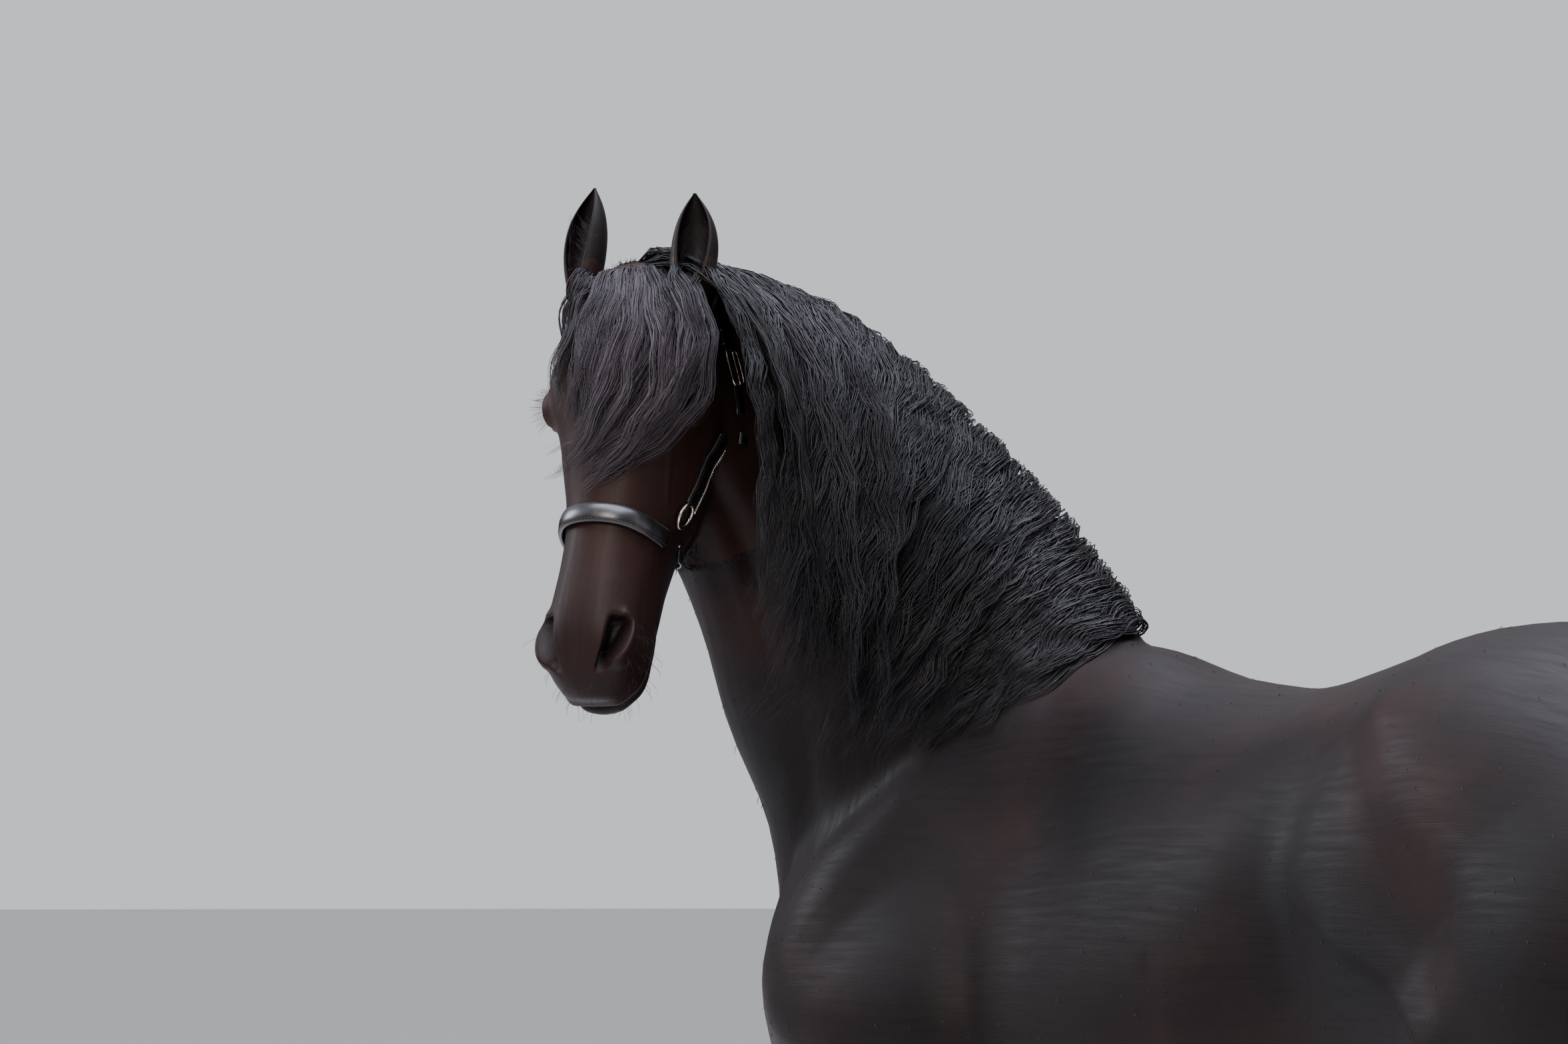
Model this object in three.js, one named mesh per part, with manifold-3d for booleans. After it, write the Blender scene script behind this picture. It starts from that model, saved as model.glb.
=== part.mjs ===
// Friesian horse, life size, standing square and looking back over its left shoulder in a leather headcollar.
// Millimetres. +X is the way the trunk faces, +Y is the horse's left, +Z is up and the hooves stand on z = 0.
// Flesh is lofted through named sections, hair is combed over it as flat locks, and each node is cut clear of the next.
import * as THREE from "three";
import { mergeVertices } from "three/addons/utils/BufferGeometryUtils.js";
import Module from "manifold-3d";

const wasm = await Module();
wasm.setup();

// Driving sizes
const GAP = 0.3; // left between nodes that touch
const SLIVER = 0.12; // faces thinner than this are merged into their neighbours
const ELBOW_CUT = 905; // height where the forearm leaves the torso
const STIFLE_CUT = 925; // height where the gaskin leaves the torso
const KNEE_CUT = 545; // height where the fore cannon leaves the forearm
const HOCK_CUT = 560; // height where the hind cannon leaves the gaskin
const CORONET = 88; // height of the top of the hoof
const FRONT_TURN = { from: 60, to: 830, angle: 22.5 }; // the forehand is bent this many degrees to the left
const SIDES = { torso: 22, neck: 18, head: 20, leg: 12, hoof: 12, ear: 6, tail: 10 };
const RINGS = { torso: 20, neck: 14, head: 19, ear: 7 };

// Trunk from buttock to breast: top and bottom line, half width, level of that width, roundness above and below
const TRUNK = [
  { at: "buttock", x: -872, top: 1310, bottom: 1120, half: 70, level: 1220, above: 2, below: 2 },
  { at: "dock", x: -825, top: 1425, bottom: 1000, half: 165, level: 1250, above: 2.1, below: 2 },
  { at: "rump", x: -720, top: 1525, bottom: 925, half: 250, level: 1260, above: 2.1, below: 2 },
  { at: "croup", x: -520, top: 1600, bottom: 890, half: 290, level: 1270, above: 2.2, below: 2.1 },
  { at: "hip", x: -320, top: 1603, bottom: 880, half: 288, level: 1270, above: 2.6, below: 2.2 },
  { at: "loin", x: -170, top: 1576, bottom: 850, half: 270, level: 1200, above: 2.2, below: 2.2 },
  { at: "back", x: 0, top: 1546, bottom: 812, half: 300, level: 1150, above: 2, below: 2.2 },
  { at: "girth", x: 180, top: 1560, bottom: 785, half: 305, level: 1120, above: 1.9, below: 2.2 },
  { at: "withers", x: 350, top: 1610, bottom: 778, half: 280, level: 1110, above: 1.7, below: 2.2 },
  { at: "shoulder", x: 540, top: 1585, bottom: 800, half: 255, level: 1130, above: 1.8, below: 2.2 },
  { at: "breast", x: 745, top: 1450, bottom: 890, half: 262, level: 1150, above: 2.2, below: 2.3 },
  { at: "breastbone", x: 862, top: 1345, bottom: 1000, half: 182, level: 1150, above: 2.2, below: 2.2 },
  { at: "front of the breast", x: 902, top: 1265, bottom: 1085, half: 84, level: 1170, above: 2, below: 2 },
];

// Neck as a straight profile of crest and throat, with the heading that each section has turned left
const NECK = [
  { at: "in the shoulder", crestX: 290, crestZ: 1545, throatX: 820, throatZ: 1050, half: 184, heading: 12 },
  { at: "base", crestX: 385, crestZ: 1622, throatX: 908, throatZ: 1225, half: 168, heading: 18 },
  { at: "lower neck", crestX: 490, crestZ: 1742, throatX: 930, throatZ: 1370, half: 138, heading: 32 },
  { at: "mid neck", crestX: 612, crestZ: 1872, throatX: 980, throatZ: 1500, half: 114, heading: 50 },
  { at: "upper neck", crestX: 765, crestZ: 2012, throatX: 1022, throatZ: 1635, half: 96, heading: 68 },
  { at: "nape", crestX: 945, crestZ: 2098, throatX: 1092, throatZ: 1765, half: 84, heading: 85 },
  { at: "poll", crestX: 1135, crestZ: 2116, throatX: 1178, throatZ: 1855, half: 76, heading: 100 },
];
const NECK_SPLIT = 0.56; // share of the neck where its two lengths part
const NECK_STEPS = 60; // straight steps that make up the bend

// Head, measured down the face from the poll: face and jaw line, half width, depth of that width, roundness
const HEAD_TURN = 114;
const FACE_SLOPE = 17;
const HEAD_ROLL = 0; // degrees that the left ear drops
const HEAD = [
  { at: "nape", down: -29, face: -40, jaw: -115, half: 46, level: -76, above: 2, below: 2 },
  { at: "poll", down: 0, face: -4, jaw: -158, half: 70, level: -57, above: 2.1, below: 2 },
  { at: "forehead", down: 67, face: 16, jaw: -224, half: 93, level: -53, above: 2.5, below: 2.1 },
  { at: "temple", down: 124, face: 23, jaw: -267, half: 104, level: -46, above: 2.8, below: 2.1 },
  { at: "eye", down: 177, face: 22, jaw: -281, half: 106, level: -52, above: 2.7, below: 2.1 },
  { at: "cheek", down: 232, face: 14, jaw: -274, half: 99, level: -76, above: 2.3, below: 2.2 },
  { at: "cheekbone end", down: 292, face: 6, jaw: -234, half: 86, level: -78, above: 2, below: 2.2 },
  { at: "nose", down: 352, face: 0, jaw: -184, half: 73, level: -76, above: 2, below: 2.2 },
  { at: "bars", down: 412, face: -2, jaw: -162, half: 67, level: -72, above: 2.1, below: 2.2 },
  { at: "nostril top", down: 468, face: -1, jaw: -150, half: 68, level: -68, above: 2.4, below: 2.2 },
  { at: "nostril", down: 516, face: -5, jaw: -143, half: 71, level: -68, above: 2.5, below: 2.2 },
  { at: "upper lip", down: 555, face: -20, jaw: -138, half: 60, level: -74, above: 2.3, below: 2.2 },
  { at: "lips", down: 583, face: -48, jaw: -114, half: 36, level: -82, above: 2.1, below: 2.1 },
];
const EYE = { down: 184, depth: -42, out: 92, radius: 24 };
const NOSTRIL = { down: 519, depth: -32, out: 60, long: 29, wide: 12, deep: 23 };
const MOUTH = { from: 482, to: 596, depth: -100, slit: 3.5, deep: 15 };
const EAR = { down: 30, drop: 8, depth: -22, out: 82, length: 150, radius: 31, wall: 4.5, lean: 4, toe: 18 };

// Legs by height: front and back outline, inner and outer side
const FORELEG = [
  { at: "shoulder blade", z: 1420, back: 390, front: 560, inner: 40, outer: 110 },
  { at: "shoulder", z: 1290, back: 360, front: 765, inner: 30, outer: 240 },
  { at: "point of shoulder", z: 1140, back: 345, front: 850, inner: 25, outer: 300 },
  { at: "upper arm", z: 1030, back: 328, front: 805, inner: 28, outer: 290 },
  { at: "elbow", z: 940, back: 335, front: 660, inner: 50, outer: 240 },
  { at: "forearm", z: 850, back: 368, front: 590, inner: 78, outer: 224 },
  { at: "lower forearm", z: 710, back: 408, front: 548, inner: 100, outer: 202 },
  { at: "above knee", z: 600, back: 428, front: 532, inner: 112, outer: 190 },
  { at: "knee", z: 520, back: 425, front: 542, inner: 103, outer: 197 },
  { at: "below knee", z: 450, back: 436, front: 530, inner: 112, outer: 190 },
  { at: "cannon", z: 340, back: 445, front: 518, inner: 120, outer: 182 },
  { at: "fetlock", z: 222, back: 432, front: 532, inner: 111, outer: 191 },
  { at: "pastern", z: 155, back: 452, front: 540, inner: 118, outer: 184 },
  { at: "coronet", z: 95, back: 462, front: 590, inner: 96, outer: 206 },
  { at: "in the hoof", z: 70, back: 480, front: 575, inner: 110, outer: 192 },
];
const HINDLEG = [
  { at: "croup", z: 1440, back: -740, front: -360, inner: 60, outer: 240 },
  { at: "hip", z: 1340, back: -830, front: -300, inner: 30, outer: 288 },
  { at: "buttock", z: 1220, back: -878, front: -290, inner: 15, outer: 312 },
  { at: "thigh", z: 1090, back: -864, front: -268, inner: 15, outer: 310 },
  { at: "stifle", z: 985, back: -816, front: -262, inner: 25, outer: 288 },
  { at: "below stifle", z: 895, back: -768, front: -322, inner: 50, outer: 258 },
  { at: "gaskin", z: 800, back: -752, front: -462, inner: 78, outer: 232 },
  { at: "lower gaskin", z: 710, back: -796, front: -592, inner: 98, outer: 212 },
  { at: "point of hock", z: 638, back: -892, front: -702, inner: 104, outer: 210 },
  { at: "hock", z: 570, back: -884, front: -752, inner: 103, outer: 209 },
  { at: "below hock", z: 480, back: -862, front: -766, inner: 114, outer: 198 },
  { at: "cannon", z: 350, back: -852, front: -778, inner: 122, outer: 188 },
  { at: "fetlock", z: 225, back: -856, front: -752, inner: 112, outer: 196 },
  { at: "pastern", z: 158, back: -832, front: -742, inner: 120, outer: 188 },
  { at: "coronet", z: 95, back: -818, front: -694, inner: 98, outer: 210 },
  { at: "in the hoof", z: 70, back: -802, front: -710, inner: 112, outer: 196 },
];
const HOOF = { toeForward: 42, heelBack: 4, spread: 10 }; // how far the sole spreads past the coronet

// Hair: counts and sizes of the locks, the core of the tail and the fullness of the feather
const MANE = { locks: 10, length: 490, width: 76, thick: 11, from: 0.24, to: 0.92, lift: 5 };
const FORELOCK = { locks: 7, length: 262, width: 46, thick: 7, lift: 2 };
const TAIL = { locks: 8, length: 1150, width: 96, thick: 20, from: 1330 };
const TAIL_CORE = [
  { at: "in the dock", x: -835, z: 1385, half: 26, deep: 22 },
  { at: "dock", x: -880, z: 1375, half: 34, deep: 26 },
  { at: "below the dock", x: -905, z: 1290, half: 34, deep: 24 },
  { at: "end", x: -918, z: 950, half: 12, deep: 8 },
];
const FEATHER = { locks: 6, length: 175, width: 54, thick: 12, lift: 3 };
const FEATHER_CORE = [
  { at: "below knee", z: 345, spread: -14, back: -10, ahead: -16 },
  { at: "above fetlock", z: 285, spread: 0, back: 14, ahead: -8 },
  { at: "fetlock", z: 215, spread: 8, back: 24, ahead: 0 },
  { at: "pastern", z: 140, spread: 14, back: 26, ahead: 10 },
  { at: "coronet", z: 70, spread: 8, back: 22, ahead: 0 },
];
const LOCK_STEPS = 6;

// Headcollar: leather straps and rings, placed on the side view of the head
const STRAP = { lift: 0.6, thick: 5.5, wide: 27 };
const RING = { radius: 17, wire: 3 };
const CHEEK_RING = { down: 360, out: -112 };
const TOP_RING = { down: 192, out: -146 };
const CROWN = { down: -60, out: -62 };

// One solid from a closed geometry
function solid(geometry) {
  geometry.deleteAttribute("normal");
  geometry.deleteAttribute("uv");
  const merged = mergeVertices(geometry, 1e-3);
  return new wasm.Manifold(
    new wasm.Mesh({
      numProp: 3,
      vertProperties: new Float32Array(merged.attributes.position.array),
      triVerts: new Uint32Array(merged.index.array),
    }),
  );
}

// The largest closed surface of a solid, with sealed hollows and loose scraps dropped
function largest(made) {
  const parts = made.decompose();
  return parts.reduce((best, part) => (part.volume() > best.volume() ? part : best));
}

// Whether some edge of a solid has other than two faces once equal points are one
function touchesItself(made) {
  const { numProp, vertProperties, triVerts } = made.getMesh();
  const names = new Map();
  const nameOf = (i) => {
    const place = [...vertProperties.subarray(i * numProp, i * numProp + 3)].map((v) => v.toFixed(3)).join();
    if (!names.has(place)) names.set(place, names.size);
    return names.get(place);
  };
  const faces = new Map();
  for (let i = 0; i < triVerts.length; i += 3) {
    const corners = [0, 1, 2].map((k) => nameOf(triVerts[i + k]));
    corners.forEach((a, k) => {
      const b = corners[(k + 1) % 3];
      const edge = Math.min(a, b) * 1e6 + Math.max(a, b);
      faces.set(edge, (faces.get(edge) ?? 0) + 1);
    });
  }
  return [...faces.values()].some((count) => count !== 2);
}

// Hair that meets the flesh along a line is nudged by tenths of a millimetre until the surface is sound
function sound(make) {
  for (let nudge = 0; nudge < 4; nudge += 0.3) {
    const made = largest(make([nudge, -nudge, nudge / 2]).simplify(SLIVER));
    if (!touchesItself(made)) return made;
  }
  throw new Error("no nudge leaves a sound surface");
}

function union(solids) {
  return solids.reduce((sum, next) => sum.add(next));
}

// Smooth value of one measure along a list of sections, t from 0 to 1
function along(sections, key, t) {
  const last = sections.length - 1;
  const place = Math.min(Math.max(t, 0), 1) * last;
  const i = Math.min(Math.floor(place), last - 1);
  const u = place - i;
  const value = (k) => sections[Math.min(Math.max(k, 0), last)][key];
  const [a, b, c, d] = [value(i - 1), value(i), value(i + 1), value(i + 2)];
  const bend = 2 * a - 5 * b + 4 * c - d;
  const twist = 3 * b - a - 3 * c + d;
  return 0.5 * (2 * b + (c - a) * u + bend * u * u + twist * u * u * u);
}

// Ring of points round a section: side and up are unit vectors, above and below say how square each half is
function ring({ centre, side, up, half, rise, drop, above = 2, below = 2 }, count) {
  return Array.from({ length: count }, (_, k) => {
    const angle = (2 * Math.PI * k) / count;
    const [c, s] = [Math.cos(angle), Math.sin(angle)];
    const power = 2 / (s > 0 ? above : below);
    const across = Math.sign(c) * Math.abs(c) ** power * half;
    const high = Math.sign(s) * Math.abs(s) ** power * (s > 0 ? rise : drop);
    return centre.clone().addScaledVector(side, across).addScaledVector(up, high);
  });
}

// A closed body through rings of equally many points. Flat ends are fans, or strips where the ring is a folded sheet.
function loft(rings, folded = false) {
  const count = rings[0].length;
  const points = rings.flat();
  const faces = [];
  for (let i = 0; i + 1 < rings.length; i++) {
    for (let k = 0; k < count; k++) {
      const [a, b] = [i * count + k, i * count + ((k + 1) % count)];
      faces.push(a, b, b + count, a, b + count, a + count);
    }
  }
  [0, rings.length - 1].forEach((i) => {
    const start = i * count;
    const flip = i === 0;
    const add = (a, b, c) => faces.push(...(flip ? [c, b, a] : [a, b, c]));
    if (folded) {
      for (let k = 0; k < count / 2 - 1; k++) {
        const [a, b, c, d] = [k, k + 1, count - 2 - k, count - 1 - k].map((n) => n + start);
        add(a, b, c);
        add(a, c, d);
      }
    } else {
      const middle = rings[i].reduce((sum, p) => sum.add(p), new THREE.Vector3());
      points.push(middle.divideScalar(count));
      for (let k = 0; k < count; k++) add(start + k, start + ((k + 1) % count), points.length - 1);
    }
  });
  const geometry = new THREE.BufferGeometry().setFromPoints(points).setIndex(faces);
  const made = solid(geometry);
  if (made.volume() > 0) return made;
  for (let i = 0; i < faces.length; i += 3) [faces[i], faces[i + 1]] = [faces[i + 1], faces[i]];
  return solid(new THREE.BufferGeometry().setFromPoints(points).setIndex(faces));
}

// The forehand bent to the left: straight up to one place, then turning evenly
function turned(place) {
  const { from, to, angle } = FRONT_TURN;
  const long = Math.min(Math.max(place.x - from, 0), to - from);
  if (long === 0) return place;
  const most = THREE.MathUtils.degToRad(angle);
  const turn = (most * long) / (to - from);
  const radius = (to - from) / most;
  const ahead = Math.max(place.x - to, 0);
  const x = from + (radius - place.y) * Math.sin(turn) + ahead * Math.cos(turn);
  const y = radius - (radius - place.y) * Math.cos(turn) + ahead * Math.sin(turn);
  return new THREE.Vector3(x, y, place.z);
}

function shares(count) {
  return Array.from({ length: count }, (_, i) => i / (count - 1));
}

const X = new THREE.Vector3(1, 0, 0);
const Y = new THREE.Vector3(0, 1, 0);
const Z = new THREE.Vector3(0, 0, 1);

function trunk(grow = 0) {
  const rings = shares(RINGS.torso).map((t) => {
    const at = (key) => along(TRUNK, key, t);
    const section = { half: at("half") + grow, rise: at("top") - at("level") + grow, drop: at("level") - at("bottom") + grow };
    const centre = new THREE.Vector3(at("x") + grow * (2 * t - 1), 0, at("level"));
    return ring({ ...section, centre, side: Y, up: Z, above: at("above"), below: at("below") }, SIDES.torso).map(turned);
  });
  return loft(rings);
}

// Leg between two heights; hand is 1 for the left leg and -1 for the right
function leg(sections, hand, from, to, grow, rings) {
  const heights = shares(200).map((t) => ({ t, z: along(sections, "z", t) }));
  const shareAt = (z) => heights.reduce((best, h) => (Math.abs(h.z - z) < Math.abs(best.z - z) ? h : best)).t;
  const [t0, t1] = [shareAt(from), shareAt(to)];
  return loft(
    shares(rings).map((u) => {
      const t = t0 + (t1 - t0) * u;
      const at = (key) => along(sections, key, t);
      const centre = new THREE.Vector3((at("front") + at("back")) / 2, (hand * (at("inner") + at("outer"))) / 2, at("z") + grow * (1 - 2 * u));
      const half = (at("front") - at("back")) / 2 + grow;
      const rise = (at("outer") - at("inner")) / 2 + grow;
      return ring({ centre, side: X, up: Y, half, rise, drop: rise, above: 2.15, below: 2.15 }, SIDES.leg).map(turned);
    }),
  );
}

// The neck's bend: the middle of each section walks on while its heading turns left
function neckWalk() {
  const place = turned(new THREE.Vector3((NECK[0].crestX + NECK[0].throatX) / 2, 0, 0));
  return shares(NECK_STEPS + 1).map((t, i) => {
    const middle = (along(NECK, "crestX", t) + along(NECK, "throatX", t)) / 2;
    if (i > 0) {
      const before = (along(NECK, "crestX", t - 1 / NECK_STEPS) + along(NECK, "throatX", t - 1 / NECK_STEPS)) / 2;
      const turn = THREE.MathUtils.degToRad(along(NECK, "heading", t - 0.5 / NECK_STEPS));
      place.add(new THREE.Vector3(Math.cos(turn), Math.sin(turn), 0).multiplyScalar(middle - before));
    }
    return place.clone();
  });
}
const WALK = neckWalk();

// Section of the bent neck at a share t: its middle, left and up vectors and sizes
function neckSection(t, grow = 0) {
  const at = (key) => along(NECK, key, t);
  const step = Math.min(Math.max(t, 0), 1) * NECK_STEPS;
  const low = Math.min(Math.floor(step), NECK_STEPS - 1);
  const middle = WALK[low].clone().lerp(WALK[low + 1], step - low);
  const turn = THREE.MathUtils.degToRad(at("heading"));
  const ahead = new THREE.Vector3(Math.cos(turn), Math.sin(turn), 0);
  const rise = ahead.clone().multiplyScalar(at("crestX") - at("throatX")).addScaledVector(Z, at("crestZ") - at("throatZ"));
  const depth = rise.length();
  const up = rise.divideScalar(depth);
  const throat = middle.clone().addScaledVector(Z, at("throatZ")).addScaledVector(ahead, (at("throatX") - at("crestX")) / 2);
  const share = 0.42; // the neck is thickest this far up from the throat
  const centre = throat.addScaledVector(up, depth * share).addScaledVector(ahead, grow * (2 * t - 1));
  const side = new THREE.Vector3(-Math.sin(turn), Math.cos(turn), 0);
  const sizes = { half: at("half") + grow, rise: depth * (1 - share) + grow, drop: depth * share + grow };
  return { centre, side, up, ahead, ...sizes, above: 1.9, below: 2.2 };
}

function neck(grow = 0) {
  return loft(shares(RINGS.neck).map((t) => ring(neckSection(t, grow), SIDES.neck)));
}

// Frame of the head: down the face, out of the face and to the horse's right, from the poll
function headFrame() {
  const turn = THREE.MathUtils.degToRad(HEAD_TURN);
  const slope = THREE.MathUtils.degToRad(FACE_SLOPE);
  const ahead = new THREE.Vector3(Math.cos(turn), Math.sin(turn), 0);
  const roll = new THREE.Quaternion().setFromAxisAngle(ahead, THREE.MathUtils.degToRad(-HEAD_ROLL));
  const down = ahead.clone().multiplyScalar(Math.sin(slope)).addScaledVector(Z, -Math.cos(slope)).applyQuaternion(roll);
  const out = ahead.clone().multiplyScalar(Math.cos(slope)).addScaledVector(Z, Math.sin(slope)).applyQuaternion(roll);
  const right = new THREE.Vector3().crossVectors(down, out);
  const end = neckSection(1);
  const poll = end.centre.clone().addScaledVector(end.up, end.rise - 6).addScaledVector(ahead, 22);
  return { down, out, right, poll };
}
const FACE = headFrame();

function onHead(down, out, right) {
  const place = FACE.poll.clone().addScaledVector(FACE.down, down);
  return place.addScaledVector(FACE.out, out).addScaledVector(FACE.right, right);
}

function skull(grow = 0) {
  return loft(
    shares(RINGS.head).map((t) => {
      const at = (key) => along(HEAD, key, t);
      const sizes = { half: at("half") + grow, rise: at("face") - at("level") + grow, drop: at("level") - at("jaw") + grow };
      const centre = onHead(at("down") + grow * (2 * t - 1), at("level"), 0);
      return ring({ ...sizes, centre, side: FACE.right, up: FACE.out, above: at("above"), below: at("below") }, SIDES.head);
    }),
  );
}

// Ellipsoid in the head's frame
function headBall(place, radii, sides = 14) {
  const ball = new THREE.SphereGeometry(1, sides, Math.round(sides * 0.6));
  const axes = new THREE.Matrix4().makeBasis(FACE.down, FACE.out, FACE.right);
  ball.applyMatrix4(new THREE.Matrix4().makeScale(...radii)).applyMatrix4(axes);
  if (axes.determinant() < 0) throw new Error("the head's frame is left handed");
  const centre = onHead(...place);
  return solid(ball.translate(centre.x, centre.y, centre.z));
}

function box(sizes, place, basis) {
  const block = new THREE.BoxGeometry(...sizes);
  if (basis) block.applyMatrix4(new THREE.Matrix4().makeBasis(...basis));
  return solid(block.translate(place.x, place.y, place.z));
}

// Triangles of a solid, for hair to be combed over
function trianglesOf(made) {
  const { numProp, vertProperties, triVerts } = made.getMesh();
  const point = (i) => new THREE.Vector3().fromArray(vertProperties, i * numProp);
  const triangles = [];
  for (let i = 0; i < triVerts.length; i += 3) {
    const triangle = new THREE.Triangle(...[0, 1, 2].map((k) => point(triVerts[i + k])));
    triangles.push({ triangle, normal: triangle.getNormal(new THREE.Vector3()) });
  }
  return triangles;
}

function nearest(triangles, place) {
  const found = { gap: Infinity };
  const touch = new THREE.Vector3();
  for (const { triangle, normal } of triangles) {
    triangle.closestPointToPoint(place, touch);
    const gap = touch.distanceToSquared(place);
    if (gap < found.gap - 1e-6) Object.assign(found, { gap, touch: touch.clone(), normal });
  }
  return found;
}

// Comb one lock: it starts along a heading, falls under its weight and is held off the body by lift
function comb({ root, heading, normal, length, fall, lift, body, steps = LOCK_STEPS, wave = 0, phase = 0, stiff = 0.35 }) {
  const step = length / steps;
  const path = [{ place: root.clone().addScaledVector(normal, -lift - 14), normal }];
  let place = root.clone().addScaledVector(normal, lift * 0.4);
  let way = heading.clone().normalize();
  let out = normal;
  path.push({ place: place.clone(), normal: out });
  for (let i = 1; i <= steps; i++) {
    way = way.clone().multiplyScalar(stiff).addScaledVector(fall, 1 - stiff).normalize();
    const across = new THREE.Vector3().crossVectors(way, out);
    place = place.clone().addScaledVector(way, step).addScaledVector(across, wave * Math.cos(phase + i * 1.9));
    const { touch, normal: face } = nearest(body, place);
    const height = place.clone().sub(touch).dot(face);
    if (height < lift) place = touch.clone().addScaledVector(face, lift);
    out = height < 3 * lift ? face : out.clone().lerp(face, 0.3).normalize();
    path.push({ place: place.clone(), normal: out });
  }
  return path;
}

// Flat tapered lock along a path: flat underneath with a low ridge, narrow at the root and pointed at the tip
function lock(path, width, thick) {
  const last = path.length - 1;
  return loft(
    path.map(({ place, normal }, i) => {
      const [before, after] = [path[Math.max(i - 1, 0)].place, path[Math.min(i + 1, last)].place];
      const way = after.clone().sub(before).normalize();
      const across = new THREE.Vector3().crossVectors(way, normal).normalize();
      const out = new THREE.Vector3().crossVectors(across, way).normalize();
      const share = i / last;
      const taper = i === last ? 0.06 : Math.min(1, 0.6 + share * 1.4) * (1 - 0.65 * share ** 3);
      const [half, high] = [(width / 2) * taper, thick * taper];
      const corners = [
        [-half, 0],
        [0, high],
        [half, 0],
      ];
      return corners.map(([wide, rise]) => place.clone().addScaledVector(across, wide).addScaledVector(out, rise));
    }),
  );
}

// Repeatable scatter between -1 and 1
let seed = 7;
function scatter() {
  seed = (seed * 16807) % 2147483647;
  return (seed / 2147483647) * 2 - 1;
}

const down = Z.clone().negate();
const legCut = { fore: ELBOW_CUT, hind: STIFLE_CUT };

// Torso with the shoulders and haunches that the legs grow from
function torsoSolid(grow = 0) {
  const quarters = [1, -1].flatMap((hand) => [
    leg(FORELEG, hand, FORELEG[0].z, legCut.fore - grow, grow, 11),
    leg(HINDLEG, hand, HINDLEG[0].z, legCut.hind - grow, grow, 12),
  ]);
  return union([trunk(grow), ...quarters]);
}

// Upper and lower length of one leg, clear of the torso and of its hoof
function legSolids(sections, hand, cut, split) {
  const trunkClear = trunk(GAP);
  const upper = leg(sections, hand, cut - GAP, split, 0, 7).subtract(trunkClear);
  const lower = leg(sections, hand, split - GAP, CORONET + GAP, 0, 10);
  return { upper: largest(upper), lower };
}

function hoofSolid(sections, hand, grow = 0) {
  const coronet = sections.find(({ at }) => at === "coronet");
  const levels = [
    { z: 0, spread: 1 },
    { z: 8, spread: 1 },
    { z: CORONET, spread: 0 },
  ];
  return loft(
    levels.map(({ z, spread }) => {
      const front = coronet.front + HOOF.toeForward * spread;
      const back = coronet.back - HOOF.heelBack * spread;
      const half = (front - back) / 2 + grow;
      const rise = (coronet.outer - coronet.inner) / 2 + HOOF.spread * spread + grow;
      const centre = new THREE.Vector3((front + back) / 2, (hand * (coronet.outer + coronet.inner)) / 2, z);
      return ring({ centre, side: X, up: Y, half, rise, drop: rise, above: 2.2, below: 2.2 }, SIDES.hoof).map(turned);
    }),
  );
}

// Feather: a core of hair round the fetlock with locks from it down over the hoof
function featherSolid(sections, hand, body) {
  const fetlock = sections.find(({ at }) => at === "fetlock");
  const centre = new THREE.Vector3((fetlock.front + fetlock.back) / 2, (hand * (fetlock.inner + fetlock.outer)) / 2, 0);
  const half = (fetlock.front - fetlock.back) / 2;
  const rise = (fetlock.outer - fetlock.inner) / 2;
  const core = loft(
    FEATHER_CORE.map(({ z, spread, back, ahead }) => {
      const place = centre.clone().add(new THREE.Vector3((ahead - back) / 2, 0, z));
      const sizes = { half: half + (back + ahead) / 2, rise: rise + spread, drop: rise + spread };
      return ring({ centre: place, side: X, up: Y, ...sizes }, SIDES.leg).map(turned);
    }),
  );
  const skin = [...body, ...trianglesOf(core)];
  const middle = turned(centre);
  const locks = shares(FEATHER.locks).map((share, i) => {
    const angle = Math.PI * (0.3 + 1.4 * share) + 0.08 * scatter();
    const outward = new THREE.Vector3(Math.cos(angle), Math.sin(angle), 0);
    const high = fetlock.z + 12 + (i % 2) * 62 + scatter() * 8;
    const { touch, normal } = nearest(skin, middle.clone().setZ(high).addScaledVector(outward, 70));
    const heading = outward.clone().multiplyScalar(0.35).add(down);
    const fall = down.clone().addScaledVector(outward, 0.06).normalize();
    const length = Math.min(FEATHER.length + (i % 2) * 50 + scatter() * 14, high - 22);
    const path = comb({ root: touch, heading, normal, length, fall, lift: FEATHER.lift, body: skin, steps: 4, wave: 3, phase: i, stiff: 0.5 });
    return lock(path, FEATHER.width, FEATHER.thick);
  });
  return union([core, ...locks]);
}

// How far forward the mane flows for each unit that it falls, more at the withers than at the poll
function maneFlow(t) {
  return 0.72 - 0.6 * t;
}

// Mane: two layers of locks from the crest, down the left side of the neck
function maneLocks(body) {
  return [0, 1].flatMap((layer) =>
    shares(MANE.locks - layer).map((share, i) => {
      const t = MANE.from + (MANE.to - MANE.from) * (share * (1 - layer / MANE.locks) + (layer * 0.5) / MANE.locks);
      const { centre, side, up, ahead, rise } = neckSection(t);
      const root = centre.clone().addScaledVector(up, rise - 6).addScaledVector(side, layer ? 4 : 14);
      const heading = side.clone().addScaledVector(up, layer ? 0.5 : 0.15);
      const fall = down.clone().addScaledVector(ahead, maneFlow(t) + 0.05 * scatter()).normalize();
      const full = Math.min(1, 0.55 + 1.6 * share) * (1 - 0.2 * share ** 3);
      const reach = MANE.length * full * (1 + 0.06 * scatter()) * (layer ? 0.88 : 1);
      const lift = MANE.lift + layer * (MANE.thick + 5);
      const path = comb({ root, heading, normal: up, length: reach, fall, lift, body, wave: 5 + 5 * layer, phase: i * 2.2 });
      return { t, made: lock(path, MANE.width * (1 + 0.12 * scatter()), MANE.thick) };
    }),
  );
}

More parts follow.
